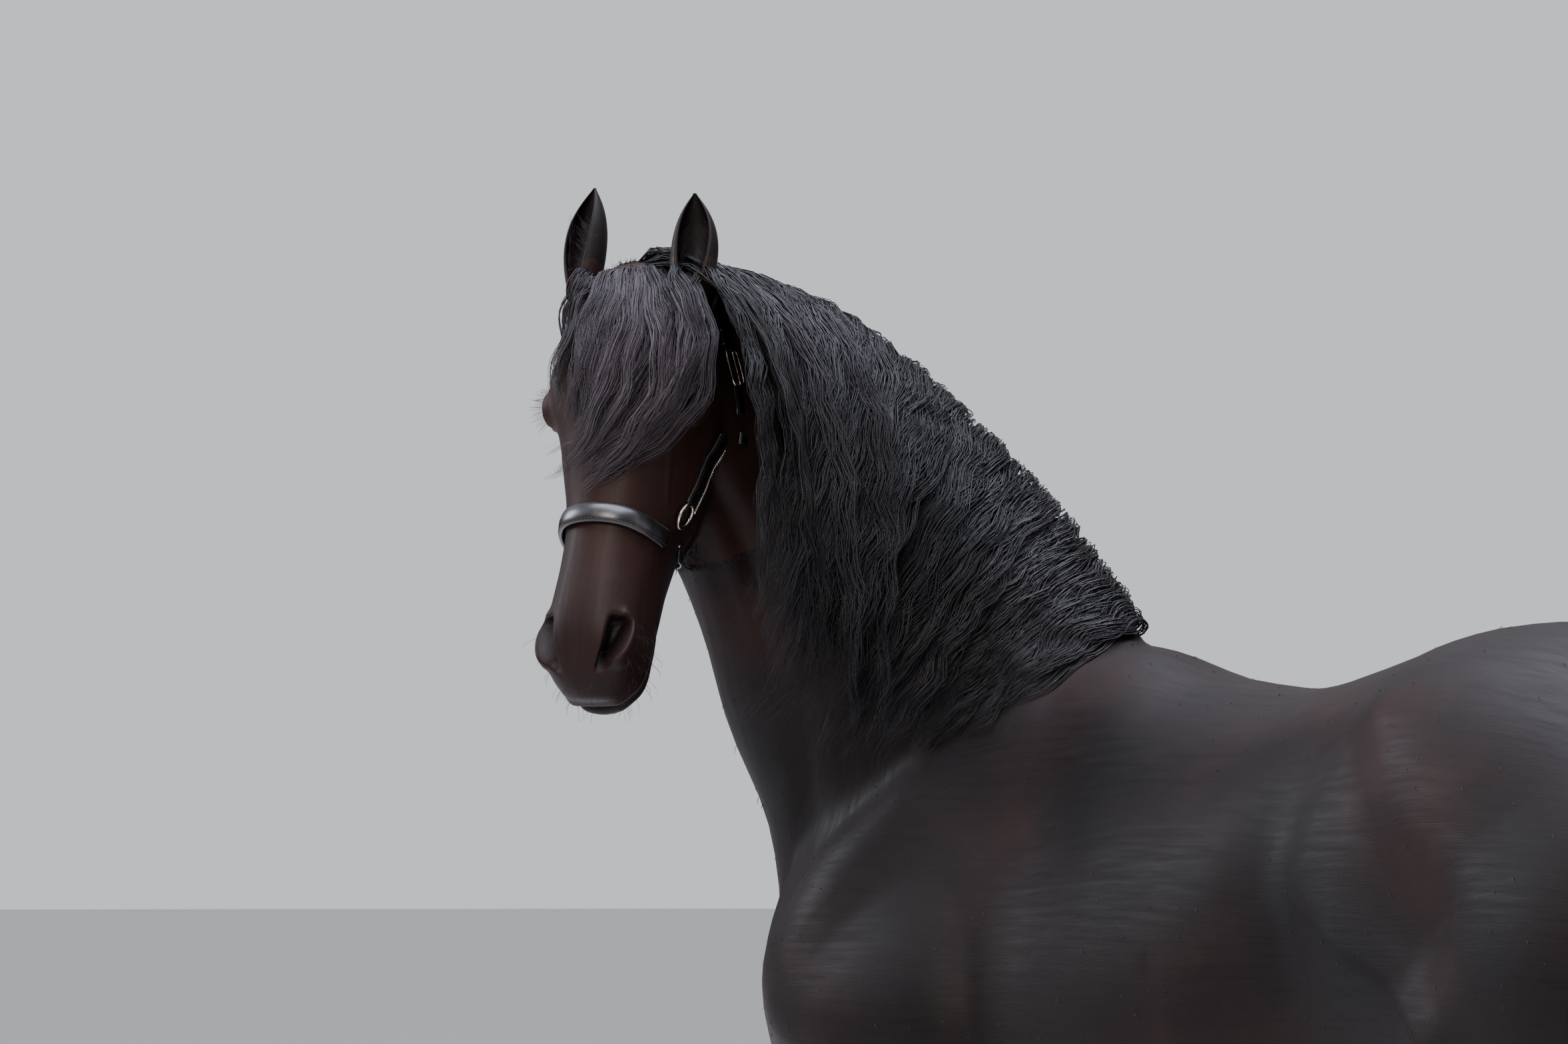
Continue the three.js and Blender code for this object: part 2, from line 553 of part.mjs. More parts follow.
// Forelock: locks from between the ears, swept across the forehead to the horse's right
function forelockLocks(body) {
  return shares(FORELOCK.locks).map((share, i) => {
    const side = 38 - 76 * share;
    const place = onHead(12 + (i % 2) * 16, 30, side);
    const { touch, normal } = nearest(body, place);
    const heading = FACE.down.clone().addScaledVector(FACE.out, 0.5).addScaledVector(FACE.right, side / 60);
    const fall = FACE.down.clone().addScaledVector(FACE.right, 0.24 + 0.1 * scatter()).normalize();
    const length = FORELOCK.length * (1 + 0.1 * scatter()) * (0.86 + 0.5 * share * (1 - share));
    const lift = FORELOCK.lift + (FORELOCK.thick + 3) * (i % 2);
    const path = comb({ root: touch, heading, normal, length, fall, lift, body, steps: 5, wave: 4, phase: i * 2.1, stiff: 0.5 });
    return lock(path, FORELOCK.width, FORELOCK.thick);
  });
}

// Tail: a core that hangs from the dock, wrapped in long locks that taper towards the floor
function tailSolid() {
  const core = loft(
    TAIL_CORE.map(({ x, z, half, deep }) => {
      const centre = new THREE.Vector3(x, 0, z);
      return ring({ centre, side: Y, up: X, half, rise: deep, drop: deep }, SIDES.tail);
    }),
  );
  const locks = shares(TAIL.locks).map((share, i) => {
    const around = Math.PI * (0.5 + (2 * i) / 8);
    const outward = new THREE.Vector3(0.6 * Math.cos(around) - 0.25, Math.sin(around), 0).normalize();
    const across = new THREE.Vector3(-outward.y, outward.x, 0);
    const start = TAIL.from - 330 * ((i * 0.38) % 1);
    const end = Math.max(start - TAIL.length * (0.93 + 0.07 * scatter()), 100 + 20 * (i % 4));
    const path = shares(LOCK_STEPS + 2).map((u, k) => {
      const z = start + (end - start) * u;
      const x = -908 - 26 * Math.sin((Math.PI * (1400 - z)) / 1500);
      const full = Math.sin(Math.PI * Math.min(0.9, 0.12 + 0.62 * ((1400 - z) / 1200)));
      const wide = k === 0 ? 20 : (22 + 42 * full) * (1 - 0.55 * u ** 4);
      const place = new THREE.Vector3(x, 0, z).addScaledVector(outward, wide * (0.62 + 0.38 * Math.abs(outward.y)));
      return { place: place.addScaledVector(across, 9 * Math.sin(i * 1.7 + k * 1.35)), normal: outward };
    });
    return lock(path, TAIL.width, TAIL.thick);
  });
  return union([core, ...locks]);
}

// Cup of one ear: a rolled sheet, open to the front, that narrows to a tip curving inwards.
// As with all of the head, hand is 1 for the horse's left, and the left ear sits lower by the drop.
function earSolid(hand, grow = 0) {
  const { lean, toe } = EAR;
  const outward = FACE.right.clone().multiplyScalar(-hand);
  const tilt = THREE.MathUtils.degToRad(lean);
  const axis = FACE.down.clone().negate().multiplyScalar(Math.cos(tilt)).addScaledVector(outward, Math.sin(tilt));
  axis.addScaledVector(FACE.out, 0.12).normalize();
  const turn = THREE.MathUtils.degToRad(toe);
  const open = FACE.out.clone().multiplyScalar(Math.cos(turn)).addScaledVector(outward, Math.sin(turn));
  open.addScaledVector(axis, -open.dot(axis)).normalize();
  const across = new THREE.Vector3().crossVectors(axis, open);
  const base = onHead(EAR.down + hand * EAR.drop, EAR.depth, -hand * EAR.out);
  const rings = shares(RINGS.ear).map((u) => {
    const wide = EAR.radius * (0.62 + 0.85 * Math.sin(Math.PI * Math.min(0.25 + u * 0.66, 1) ** 1.15) ** 1.1 - 0.42) * (1 - u ** 9 * 0.9);
    const fold = THREE.MathUtils.degToRad(150 - 40 * u + 4 * grow);
    const centre = base.clone().addScaledVector(axis, EAR.length * u - 8 + grow * (2 * u - 1)).addScaledVector(outward, -14 * u * u * u);
    const wall = EAR.wall * (1 - 0.55 * u) + 2 * grow;
    const arc = (radius) =>
      shares(SIDES.ear).map((v) => {
        const angle = (v * 2 - 1) * fold;
        const place = centre.clone().addScaledVector(open, -radius * 0.86 * Math.cos(angle));
        return place.addScaledVector(across, radius * Math.sin(angle));
      });
    return [...arc(Math.max(wide, 2.4) + grow), ...arc(Math.max(wide + grow - wall, 1)).reverse()];
  });
  return loft(rings, true);
}

// Cover of leather between two heights over the head and neck, where the straps are cut from
function strapCover(grow) {
  const [low, high] = [STRAP.lift - grow, STRAP.lift + STRAP.thick + grow];
  return union([skull(high), neck(high)]).subtract(union([skull(low), neck(low)]));
}

// Block that runs from one point of the head's side view to another; hand keeps one side, 0 keeps both
function strapBlock(from, to, wide, hand, grow) {
  const [a, b] = [onHead(from[0], from[1], 0), onHead(to[0], to[1], 0)];
  const way = b.clone().sub(a);
  const long = way.length();
  way.normalize();
  const across = new THREE.Vector3().crossVectors(FACE.right, way);
  const centre = a.clone().add(b).multiplyScalar(0.5).addScaledVector(FACE.right, -hand * 101);
  return box([long + 2 * grow, wide + 2 * grow, hand ? 200 : 420], centre, [way, across, FACE.right]);
}

function ringSolid(place, face, grow = 0) {
  const geometry = new THREE.TorusGeometry(RING.radius, RING.wire + grow, 5, 12);
  const turn = new THREE.Quaternion().setFromUnitVectors(Z, face);
  geometry.applyQuaternion(turn).translate(place.x, place.y, place.z);
  return solid(geometry);
}

const materials = {
  coat: { color: 0x1d1718, roughness: 0.42, metalness: 0 },
  hair: { color: 0x17151a, roughness: 0.55, metalness: 0 },
  eye: { color: 0x0c0706, roughness: 0.05, metalness: 0 },
  hoof: { color: 0x2a2624, roughness: 0.5, metalness: 0 },
  leather: { color: 0x0f0e10, roughness: 0.35, metalness: 0 },
  brass: { color: 0xb79a5e, roughness: 0.3, metalness: 1 },
};

const horse = new THREE.Group();

function addNode(name, made, kind, parent = horse) {
  const { numProp, vertProperties, triVerts } = largest(made.simplify(SLIVER)).getMesh();
  const places = [];
  for (let i = 0; i < vertProperties.length; i += numProp) places.push(...vertProperties.subarray(i, i + 3));
  const geometry = new THREE.BufferGeometry();
  geometry.setAttribute("position", new THREE.Float32BufferAttribute(places, 3));
  geometry.setIndex([...triVerts]);
  geometry.computeVertexNormals();
  const mesh = new THREE.Mesh(geometry, new THREE.MeshStandardMaterial(materials[kind]));
  mesh.name = name;
  parent.add(mesh);
}

const hands = [
  { side: "left", hand: 1 },
  { side: "right", hand: -1 },
];

// Flesh
const torso = largest(torsoSolid());
const torsoClear = torsoSolid(2 * GAP);
const neckWhole = neck();
const skullClear = skull(3 * GAP);
const eyeBall = (hand, grow) =>
  headBall([EYE.down, EYE.depth, -hand * EYE.out], Array(3).fill(EYE.radius + grow), 12);
const lidMound = (hand, grow) =>
  headBall([EYE.down, EYE.depth + 2, -hand * (EYE.out - 4)], [37 + grow, 31 + grow, 31 + grow], 10);
const lidOpening = (hand) => headBall([EYE.down + 2, EYE.depth - 1, -hand * (EYE.out + 26)], [23, 13, 26], 10);
const lidsClear = union(hands.map(({ hand }) => lidMound(hand, GAP)));
const nostrilRim = (hand) =>
  headBall([NOSTRIL.down - 4, NOSTRIL.depth, -hand * (NOSTRIL.out - 8)], [NOSTRIL.long + 12, NOSTRIL.wide + 14, 20], 8);
const nostrilHole = (hand) =>
  headBall([NOSTRIL.down, NOSTRIL.depth + 6, -hand * (NOSTRIL.out + 6)], [NOSTRIL.long, NOSTRIL.wide, NOSTRIL.deep], 8);

const mouthLength = MOUTH.to - MOUTH.from;
const mouthMiddle = onHead((MOUTH.from + MOUTH.to) / 2, MOUTH.depth, 0);
const mouthSlit = (hand) => {
  const place = mouthMiddle.clone().addScaledVector(FACE.right, -hand * 58);
  return box([mouthLength, MOUTH.slit, MOUTH.deep * 2 + 20], place, [FACE.down, FACE.out, FACE.right]);
};
const lipFront = box([34, MOUTH.slit, 110], onHead(617, MOUTH.depth + 3, 0), [FACE.down, FACE.out, FACE.right]);

const skullFeatured = hands.reduce(
  (made, { hand }) => made.add(lidMound(hand, 0)).add(nostrilRim(hand)).subtract(nostrilHole(hand)),
  skull(),
);
// Headcollar: every strap is a length of one cover, cut clear of the rings that it meets
const strapBody = trianglesOf(skull());
const ringAt = (place, hand) => {
  const { touch, normal } = nearest(strapBody, onHead(place.down, place.out, -hand * 260));
  return { place: touch.clone().addScaledVector(normal, RING.wire + STRAP.lift + 1.4), face: normal };
};
const rings = hands.flatMap(({ side, hand }) => [
  { name: `headcollar_cheek_ring_${side}`, ...ringAt(CHEEK_RING, hand) },
  { name: `headcollar_top_ring_${side}`, ...ringAt(TOP_RING, hand) },
]);
const ringsClear = union(rings.map(({ place, face }) => ringSolid(place, face, GAP)));
const cheek = [CHEEK_RING.down - 15, CHEEK_RING.out - 3];
const top = [TOP_RING.down + 14, TOP_RING.out + 3];
const straps = (grow) => {
  const cover = strapCover(grow);
  return [
    { name: "noseband", from: [336, 60], to: [364, CHEEK_RING.out + 12], wide: STRAP.wide, hand: 0 },
    { name: "chin_strap", from: [363, CHEEK_RING.out - 14], to: [342, -260], wide: STRAP.wide - 5, hand: 0 },
    { name: "crown", from: [TOP_RING.down - 14, TOP_RING.out + 4], to: [CROWN.down, CROWN.out], wide: STRAP.wide - 3, hand: 0 },
    { name: "throatlatch", from: [TOP_RING.down, TOP_RING.out - 14], to: [182, -330], wide: STRAP.wide - 8, hand: 0 },
    { name: "cheek_strap_left", from: cheek, to: top, wide: STRAP.wide - 3, hand: 1 },
    { name: "cheek_strap_right", from: cheek, to: top, wide: STRAP.wide - 3, hand: -1 },
  ].map(({ name, from, to, wide, hand }) => ({ name, made: cover.intersect(strapBlock(from, to, wide, hand, grow)) }));
};
const strapsClear = union(straps(2 * GAP).map(({ made }) => made)).add(ringsClear);

const earsClear = union(hands.map(({ hand }) => earSolid(hand, 2 * GAP)));
const eyesClear = union(hands.map(({ hand }) => eyeBall(hand, GAP)));
const combingBody = trianglesOf(union([torso, neckWhole, skullFeatured]));
const forelock = union(forelockLocks(combingBody)).subtract(strapsClear).subtract(earsClear);
const headSolid = sound((nudge) =>
  hands.reduce(
    (made, { hand }) => made.subtract(lidOpening(hand)).subtract(eyeBall(hand, GAP)).subtract(mouthSlit(hand)),
    skullFeatured.add(forelock.translate(nudge)).subtract(lipFront),
  ),
);

// Neck in two lengths with the mane on both, parted upright where the hair falls
const split = neckSection(NECK_SPLIT);
const beyond = (offset) => {
  const flow = split.ahead.clone().addScaledVector(Z, maneFlow(NECK_SPLIT)).normalize();
  const place = split.centre.clone().addScaledVector(flow, offset + 800);
  return box([1600, 1600, 2600], place, [flow, split.side, flow.clone().cross(split.side)]);
};
const aroundNeck = union([torsoClear, skullClear, lidsClear, strapsClear, earsClear, eyesClear]);
const locks = maneLocks(trianglesOf(union([torsoSolid(12), neckWhole, skullFeatured])));
const lowerHair = locks.filter(({ t }) => t <= NECK_SPLIT).map(({ made }) => made);
const upperHair = locks.filter(({ t }) => t > NECK_SPLIT).map(({ made }) => made);
const neckWith = (hair, nudge) => neckWhole.add(union(hair).translate(nudge)).subtract(aroundNeck);
const neckLower = sound((nudge) => neckWith(lowerHair, nudge).subtract(beyond(0)));
const neckUpper = sound((nudge) => neckWith(upperHair, nudge).intersect(beyond(GAP)));

addNode("torso", torso, "coat");
addNode("neck_lower", neckLower, "coat");
addNode("neck_upper", neckUpper, "coat");
addNode("head", headSolid, "coat");
hands.forEach(({ side, hand }) => {
  addNode(`ear_${side}`, largest(earSolid(hand).subtract(skullClear).subtract(lidsClear)), "coat");
  addNode(`eye_${side}`, eyeBall(hand, 0), "eye");
  [
    { name: "fore", sections: FORELEG, cut: ELBOW_CUT, low: KNEE_CUT, upperName: "forearm" },
    { name: "hind", sections: HINDLEG, cut: STIFLE_CUT, low: HOCK_CUT, upperName: "gaskin" },
  ].forEach(({ name, sections, cut, low, upperName }) => {
    const { upper, lower } = legSolids(sections, hand, cut, low);
    const body = trianglesOf(lower.add(hoofSolid(sections, hand)));
    const feather = featherSolid(sections, hand, body);
    const haired = sound((nudge) => lower.add(feather.translate(nudge)).subtract(hoofSolid(sections, hand, GAP)));
    addNode(`${upperName}_${side}`, upper, "coat");
    addNode(`${name}_cannon_${side}`, haired, "coat");
    addNode(`${name}_hoof_${side}`, hoofSolid(sections, hand), "hoof");
  });
});
const tail = tailSolid();
addNode("tail", sound((nudge) => tail.translate(nudge).subtract(torsoClear)), "hair");
straps(0).forEach(({ name, made }) => addNode(`headcollar_${name}`, largest(made.subtract(ringsClear)), "leather"));
rings.forEach(({ name, place, face }) => addNode(name, ringSolid(place, face), "brass"));

// Move the whole horse so that its box is centred on the origin
horse.updateMatrixWorld(true);
const bounds = new THREE.Box3().setFromObject(horse);
horse.position.set(-(bounds.min.x + bounds.max.x) / 2, -(bounds.min.y + bounds.max.y) / 2, 0);

export default horse;
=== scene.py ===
"""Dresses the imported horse: coat, hair, eyes, hooves and headcollar round the solids of the frame."""
import math

import bmesh
import bpy
import numpy as np
from bpy.props import FloatProperty, FloatVectorProperty, IntProperty, PointerProperty, StringProperty
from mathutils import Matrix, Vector
from mathutils.bvhtree import BVHTree


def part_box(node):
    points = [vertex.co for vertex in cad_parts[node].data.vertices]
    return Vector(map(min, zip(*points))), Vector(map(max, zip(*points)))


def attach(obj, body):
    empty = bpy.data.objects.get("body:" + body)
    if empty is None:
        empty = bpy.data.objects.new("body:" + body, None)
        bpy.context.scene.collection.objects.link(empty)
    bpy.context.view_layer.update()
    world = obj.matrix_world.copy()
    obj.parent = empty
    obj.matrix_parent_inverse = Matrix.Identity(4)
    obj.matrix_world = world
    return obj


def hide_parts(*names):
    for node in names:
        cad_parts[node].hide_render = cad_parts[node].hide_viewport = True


bl_info = {
    "name": "Friesian Horse",
    "version": (1, 0, 0),
    "blender": (4, 5, 0),
    "location": "3D View > Sidebar > Horse",
    "description": "Builds a life-size black horse with its hair and headcollar",
    "category": "Add Mesh",
}

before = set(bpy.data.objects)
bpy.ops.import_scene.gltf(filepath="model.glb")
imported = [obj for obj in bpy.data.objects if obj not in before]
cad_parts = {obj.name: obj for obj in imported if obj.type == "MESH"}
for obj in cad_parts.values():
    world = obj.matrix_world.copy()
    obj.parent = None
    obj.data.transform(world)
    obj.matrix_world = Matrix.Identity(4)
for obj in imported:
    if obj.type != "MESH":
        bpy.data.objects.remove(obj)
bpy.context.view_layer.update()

# Stations of the solids in millimetres, before the horse is centred on its box.
# Trunk from buttock to breast.
TRUNK_COLUMNS = ("x", "top", "bottom", "half", "level", "above", "below")
TRUNK = (
    ("buttock", -872, 1310, 1120, 70, 1220, 2.0, 2.0),
    ("dock", -825, 1425, 1000, 165, 1250, 2.1, 2.0),
    ("rump", -720, 1525, 925, 250, 1260, 2.1, 2.0),
    ("croup", -520, 1600, 890, 290, 1270, 2.2, 2.1),
    ("hip", -320, 1603, 880, 288, 1270, 2.6, 2.2),
    ("loin", -170, 1576, 850, 270, 1200, 2.2, 2.2),
    ("back", 0, 1546, 812, 300, 1150, 2.0, 2.2),
    ("girth", 180, 1560, 785, 305, 1120, 1.9, 2.2),
    ("withers", 350, 1610, 778, 280, 1110, 1.7, 2.2),
    ("shoulder", 540, 1585, 800, 255, 1130, 1.8, 2.2),
    ("breast", 745, 1450, 890, 262, 1150, 2.2, 2.3),
    ("breastbone", 862, 1345, 1000, 182, 1150, 2.2, 2.2),
    ("front of the breast", 902, 1265, 1085, 84, 1170, 2.0, 2.0),
)
FRONT_TURN = {"from": 60, "to": 830, "angle": 22.5}

# Neck as a straight profile, with the heading that each section has turned left.
NECK_COLUMNS = ("crest_x", "crest_z", "throat_x", "throat_z", "half", "heading")
NECK = (
    ("in the shoulder", 290, 1545, 820, 1050, 184, 12),
    ("base", 385, 1622, 908, 1225, 168, 18),
    ("lower neck", 490, 1742, 930, 1370, 138, 32),
    ("mid neck", 612, 1872, 980, 1500, 114, 50),
    ("upper neck", 765, 2012, 1022, 1635, 96, 68),
    ("nape", 945, 2098, 1092, 1765, 84, 85),
    ("poll", 1135, 2116, 1178, 1855, 76, 100),
)
NECK_STEPS = 60

# Head, measured down the face from the poll.
HEAD_TURN, FACE_SLOPE, HEAD_ROLL = 114, 17, 0
HEAD_COLUMNS = ("down", "face", "jaw", "half", "level", "above", "below")
HEAD = (
    ("nape", -29, -40, -115, 46, -76, 2.0, 2.0),
    ("poll", 0, -4, -158, 70, -57, 2.1, 2.0),
    ("forehead", 67, 16, -224, 93, -53, 2.5, 2.1),
    ("temple", 124, 23, -267, 104, -46, 2.8, 2.1),
    ("eye", 177, 22, -281, 106, -52, 2.7, 2.1),
    ("cheek", 232, 14, -274, 99, -76, 2.3, 2.2),
    ("cheekbone end", 292, 6, -234, 86, -78, 2.0, 2.2),
    ("nose", 352, 0, -184, 73, -76, 2.0, 2.2),
    ("bars", 412, -2, -162, 67, -72, 2.1, 2.2),
    ("nostril top", 468, -1, -150, 68, -68, 2.4, 2.2),
    ("nostril", 516, -5, -143, 71, -68, 2.5, 2.2),
    ("upper lip", 555, -20, -138, 60, -74, 2.3, 2.2),
    ("lips", 583, -48, -114, 36, -82, 2.1, 2.1),
)
EYE = {"down": 184, "depth": -42, "out": 92, "radius": 24}
EAR = {
    "down": 30, "drop": 8, "depth": -22, "out": 82, "length": 150, "radius": 31, "wall": 4.5, "lean": 4,
    "toe": 18
}

# Legs by height: back and front outline, inner and outer side.
LEG_COLUMNS = ("z", "back", "front", "inner", "outer")
FORELEG = (
    ("shoulder blade", 1420, 390, 560, 40, 110),
    ("shoulder", 1290, 360, 765, 30, 240),
    ("point of shoulder", 1140, 345, 850, 25, 300),
    ("upper arm", 1030, 328, 805, 28, 290),
    ("elbow", 940, 335, 660, 50, 240),
    ("forearm", 850, 368, 590, 78, 224),
    ("lower forearm", 710, 408, 548, 100, 202),
    ("above knee", 600, 428, 532, 112, 190),
    ("knee", 520, 425, 542, 103, 197),
    ("below knee", 450, 436, 530, 112, 190),
    ("cannon", 340, 445, 518, 120, 182),
    ("fetlock", 222, 432, 532, 111, 191),
    ("pastern", 155, 452, 540, 118, 184),
    ("coronet", 95, 462, 590, 96, 206),
    ("in the hoof", 70, 480, 575, 110, 192),
)
HINDLEG = (
    ("croup", 1440, -740, -360, 60, 240),
    ("hip", 1340, -830, -300, 30, 288),
    ("buttock", 1220, -878, -290, 15, 312),
    ("thigh", 1090, -864, -268, 15, 310),
    ("stifle", 985, -816, -262, 25, 288),
    ("below stifle", 895, -768, -322, 50, 258),
    ("gaskin", 800, -752, -462, 78, 232),
    ("lower gaskin", 710, -796, -592, 98, 212),
    ("point of hock", 638, -892, -702, 104, 210),
    ("hock", 570, -884, -752, 103, 209),
    ("below hock", 480, -862, -766, 114, 198),
    ("cannon", 350, -852, -778, 122, 188),
    ("fetlock", 225, -856, -752, 112, 196),
    ("pastern", 158, -832, -742, 120, 188),
    ("coronet", 95, -818, -694, 98, 210),
    ("in the hoof", 70, -802, -710, 112, 196),
)
HOOF = {"height": 88, "toe": 42, "heel": 4, "spread": 10}
HANDS = (("left", 1), ("right", -1))
LEGS = tuple(
    (f"{end}_{side}", table, hand) for end, table in (("fore", FORELEG), ("hind", HINDLEG)) for side,
    hand in HANDS
)

# Where the millimetres of the tables lie in the frame: a hind hoof is a plain ring of the tables.
coronet = dict(zip(LEG_COLUMNS, HINDLEG[-2][1:]))
hoof_low, hoof_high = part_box("hind_hoof_left")
hoof_middle = (
    (coronet["front"] + HOOF["toe"] + coronet["back"] - HOOF["heel"]) / 2000,
    (coronet["inner"] + coronet["outer"]) / 2000,
)
SHIFT = np.array([(hoof_low[i] + hoof_high[i]) / 2 - hoof_middle[i] for i in range(2)] + [0.0])


def placed(points):
    """Millimetres of the tables as metres of the frame."""
    return np.asarray(points, float) * 0.001 + SHIFT


def unit(v):
    """Vectors of length one along the last axis."""
    v = np.asarray(v, float)
    return v / np.maximum(np.linalg.norm(v, axis=-1, keepdims=True), 1e-12)


def along(table, columns, share):
    """Smooth values of every column at shares from 0 to 1 of a station table."""
    values = np.array([row[1:] for row in table], float)
    last = len(values) - 1
    place = np.clip(np.atleast_1d(np.asarray(share, float)), 0, 1) * last
    i = np.minimum(place.astype(int), last - 1)
    u = (place - i)[:, None]
    a, b, c, d = (values[np.clip(i + k, 0, last)] for k in (-1, 0, 1, 2))
    bend = 2 * a - 5 * b + 4 * c - d
    twist = 3 * b - a - 3 * c + d
    smooth = 0.5 * (2 * b + (c - a) * u + bend * u * u + twist * u * u * u)
    return dict(zip(columns, smooth.T))


def turned(points):
    """The forehand bent to the left: straight up to one place, then turning evenly."""
    p = np.array(points, float)
    start, end, most = FRONT_TURN["from"], FRONT_TURN["to"], math.radians(FRONT_TURN["angle"])
    long = np.clip(p[..., 0] - start, 0, end - start)
    turn = most * long / (end - start)
    radius = (end - start) / most
    ahead = np.maximum(p[..., 0] - end, 0)
    bent = p.copy()
    bent[..., 0] = start + (radius - p[..., 1]) * np.sin(turn) + ahead * np.cos(turn)
    bent[..., 1] = radius - (radius - p[..., 1]) * np.cos(turn) + ahead * np.sin(turn)
    return np.where(long[..., None] > 0, bent, p)


def rings(centre, side, up, half, rise, drop, above, below, count):
    """Rings round sections, each half as square as its power says."""
    angle = 2 * np.pi * np.arange(count) / count
    c, s = np.cos(angle)[None, :], np.sin(angle)[None, :]
    half, rise, drop, above, below = (
        np.broadcast_to(v, len(centre))[:, None] for v in (half, rise, drop, above, below)
    )
    power = np.where(s > 0, 2 / above, 2 / below)
    across = np.sign(c) * np.abs(c) ** power * half
    high = np.sign(s) * np.abs(s) ** power * np.where(s > 0, rise, drop)
    side, up = (np.broadcast_to(v, (len(centre), 3))[:, None, :] for v in (side, up))
    return centre[:, None, :] + across[..., None] * side + high[..., None] * up


def loft_faces(count, rows, start=0, closed_ends=True):
    """Quads between rings of equally many points, with a fan point at either end."""
    faces = []
    for i in range(rows - 1):
        for k in range(count):
            a, b = start + i * count + k, start + i * count + (k + 1) % count
            faces.append((a, b, b + count, a + count))
    if closed_ends:
        first, last = start + rows * count, start + rows * count + 1
        for k in range(count):
            faces.append((start + (k + 1) % count, start + k, first))
            faces.append((
                start + (rows - 1) * count + k, start + (rows - 1) * count + (k + 1) % count, last
            ))
    return faces


def loft(loops):
    """Points and faces of a closed body through rings, in the units of the rings."""
    points = np.concatenate([loops.reshape(-1, 3), loops[:1].mean(1), loops[-1:].mean(1)])
    return points, loft_faces(loops.shape[1], loops.shape[0])


def joined(bodies):
    """Several bodies as one list of points and one of faces."""
    points, faces, start = [], [], 0
    for body_points, body_faces in bodies:
        points.append(body_points)
        faces.extend(tuple(i + start for i in face) for face in body_faces)
        start += len(body_points)
    return np.concatenate(points), faces


def new_object(name, points, faces, edges=(), smooth=True, outward=False):
    """A mesh object at the origin, its place in its mesh."""
    mesh = bpy.data.meshes.new(name)
    mesh.from_pydata([tuple(p) for p in points], list(edges), [tuple(int(i) for i in f) for f in faces])
    if outward:
        shell = bmesh.new()
        shell.from_mesh(mesh)
        bmesh.ops.remove_doubles(shell, verts=shell.verts, dist=1e-6)
        bmesh.ops.recalc_face_normals(shell, faces=shell.faces)
        shell.to_mesh(mesh)
        shell.free()
    mesh.update()
    if smooth and mesh.polygons:
        mesh.polygons.foreach_set("use_smooth", [True] * len(mesh.polygons))
    made = bpy.data.objects.new(name, mesh)
    bpy.context.scene.collection.objects.link(made)
    return made


def frozen(made):
    """The object's evaluated shape as its plain mesh, with its modifiers gone."""
    made.update_tag()
    bpy.context.view_layer.update()
    graph = bpy.context.evaluated_depsgraph_get()
    mesh = bpy.data.meshes.new_from_object(made.evaluated_get(graph), depsgraph=graph)
    made.modifiers.clear()
    made.data = mesh
    return made


def points_of(mesh):
    """All vertices of a mesh as an array."""
    flat = np.empty(len(mesh.vertices) * 3)
    mesh.vertices.foreach_get("co", flat)
    return flat.reshape(-1, 3)


def normals_of(mesh):
    """All vertex normals of a mesh as an array."""
    flat = np.empty(len(mesh.vertices) * 3)
    mesh.vertex_normals.foreach_get("vector", flat)
    return flat.reshape(-1, 3)


def edges_of(mesh):
    """All edges of a mesh as an array of vertex pairs."""
    flat = np.empty(len(mesh.edges) * 2, np.int64)
    mesh.edges.foreach_get("vertices", flat)
    return flat.reshape(-1, 2)


def relaxed(points, edges, weight, rounds):
    """Points drawn towards the mean of their neighbours, as far as each one's weight says."""
    ends = np.concatenate([edges[:, 0], edges[:, 1]])
    others = np.concatenate([edges[:, 1], edges[:, 0]])
    count = np.maximum(np.bincount(ends, minlength=len(points)), 1)
    for _ in range(rounds):
        mean = np.stack([np.bincount(ends, points[others, k], len(points)) / count for k in range(3)], 1)
        points = points + (mean - points) * weight[:, None] * 0.6
    return points


def set_points(mesh, points):
    """Writes an array back to the vertices of a mesh."""
    mesh.vertices.foreach_set("co", np.ascontiguousarray(points, np.float32).ravel())
    mesh.update()


# Body forms

def trunk_body(grow=0.0, count=96, rows=120):
    """The trunk, bent to the left in front."""
    share = np.linspace(0, 1, rows)
    s = along(TRUNK, TRUNK_COLUMNS, share)
    centre = np.stack([s["x"] + grow * (2 * share - 1), 0 * share, s["level"]], 1)
    loops = rings(
        centre, (0, 1, 0), (0, 0, 1), s["half"] + grow, s["top"] - s["level"] + grow,
        s["level"] - s["bottom"] + grow, s["above"], s["below"], count,
    )
    return loft(placed(turned(loops)))


def leg_body(table, hand, grow=0.0, count=64, rows=150):
    """One leg from inside the trunk to inside the hoof."""
    s = along(table, LEG_COLUMNS, np.linspace(0, 1, rows))
    centre = np.stack([(s["front"] + s["back"]) / 2, hand * (s["inner"] + s["outer"]) / 2, s["z"]], 1)
    rise = (s["outer"] - s["inner"]) / 2 + grow
    loops = rings(
        centre, (1, 0, 0), (0, 1, 0), (s["front"] - s["back"]) / 2 + grow, rise, rise, 2.15, 2.15, count
    )
    return loft(placed(turned(loops)))


def neck_walk():
    """The middle line of the bent neck: it walks on while its heading turns left."""
    share = np.linspace(0, 1, NECK_STEPS + 1)
    s = along(NECK, NECK_COLUMNS, share)
    middle = (s["crest_x"] + s["throat_x"]) / 2
    heading = np.radians(along(NECK, NECK_COLUMNS, share[1:] - 0.5 / NECK_STEPS)["heading"])
    start = turned([(NECK[0][1] + NECK[0][3]) / 2, 0, 0])
    steps = np.diff(middle)[:, None] * np.stack([np.cos(heading), np.sin(heading), 0 * heading], 1)
    return np.concatenate([start[None], start + np.cumsum(steps, 0)])


WALK = neck_walk()


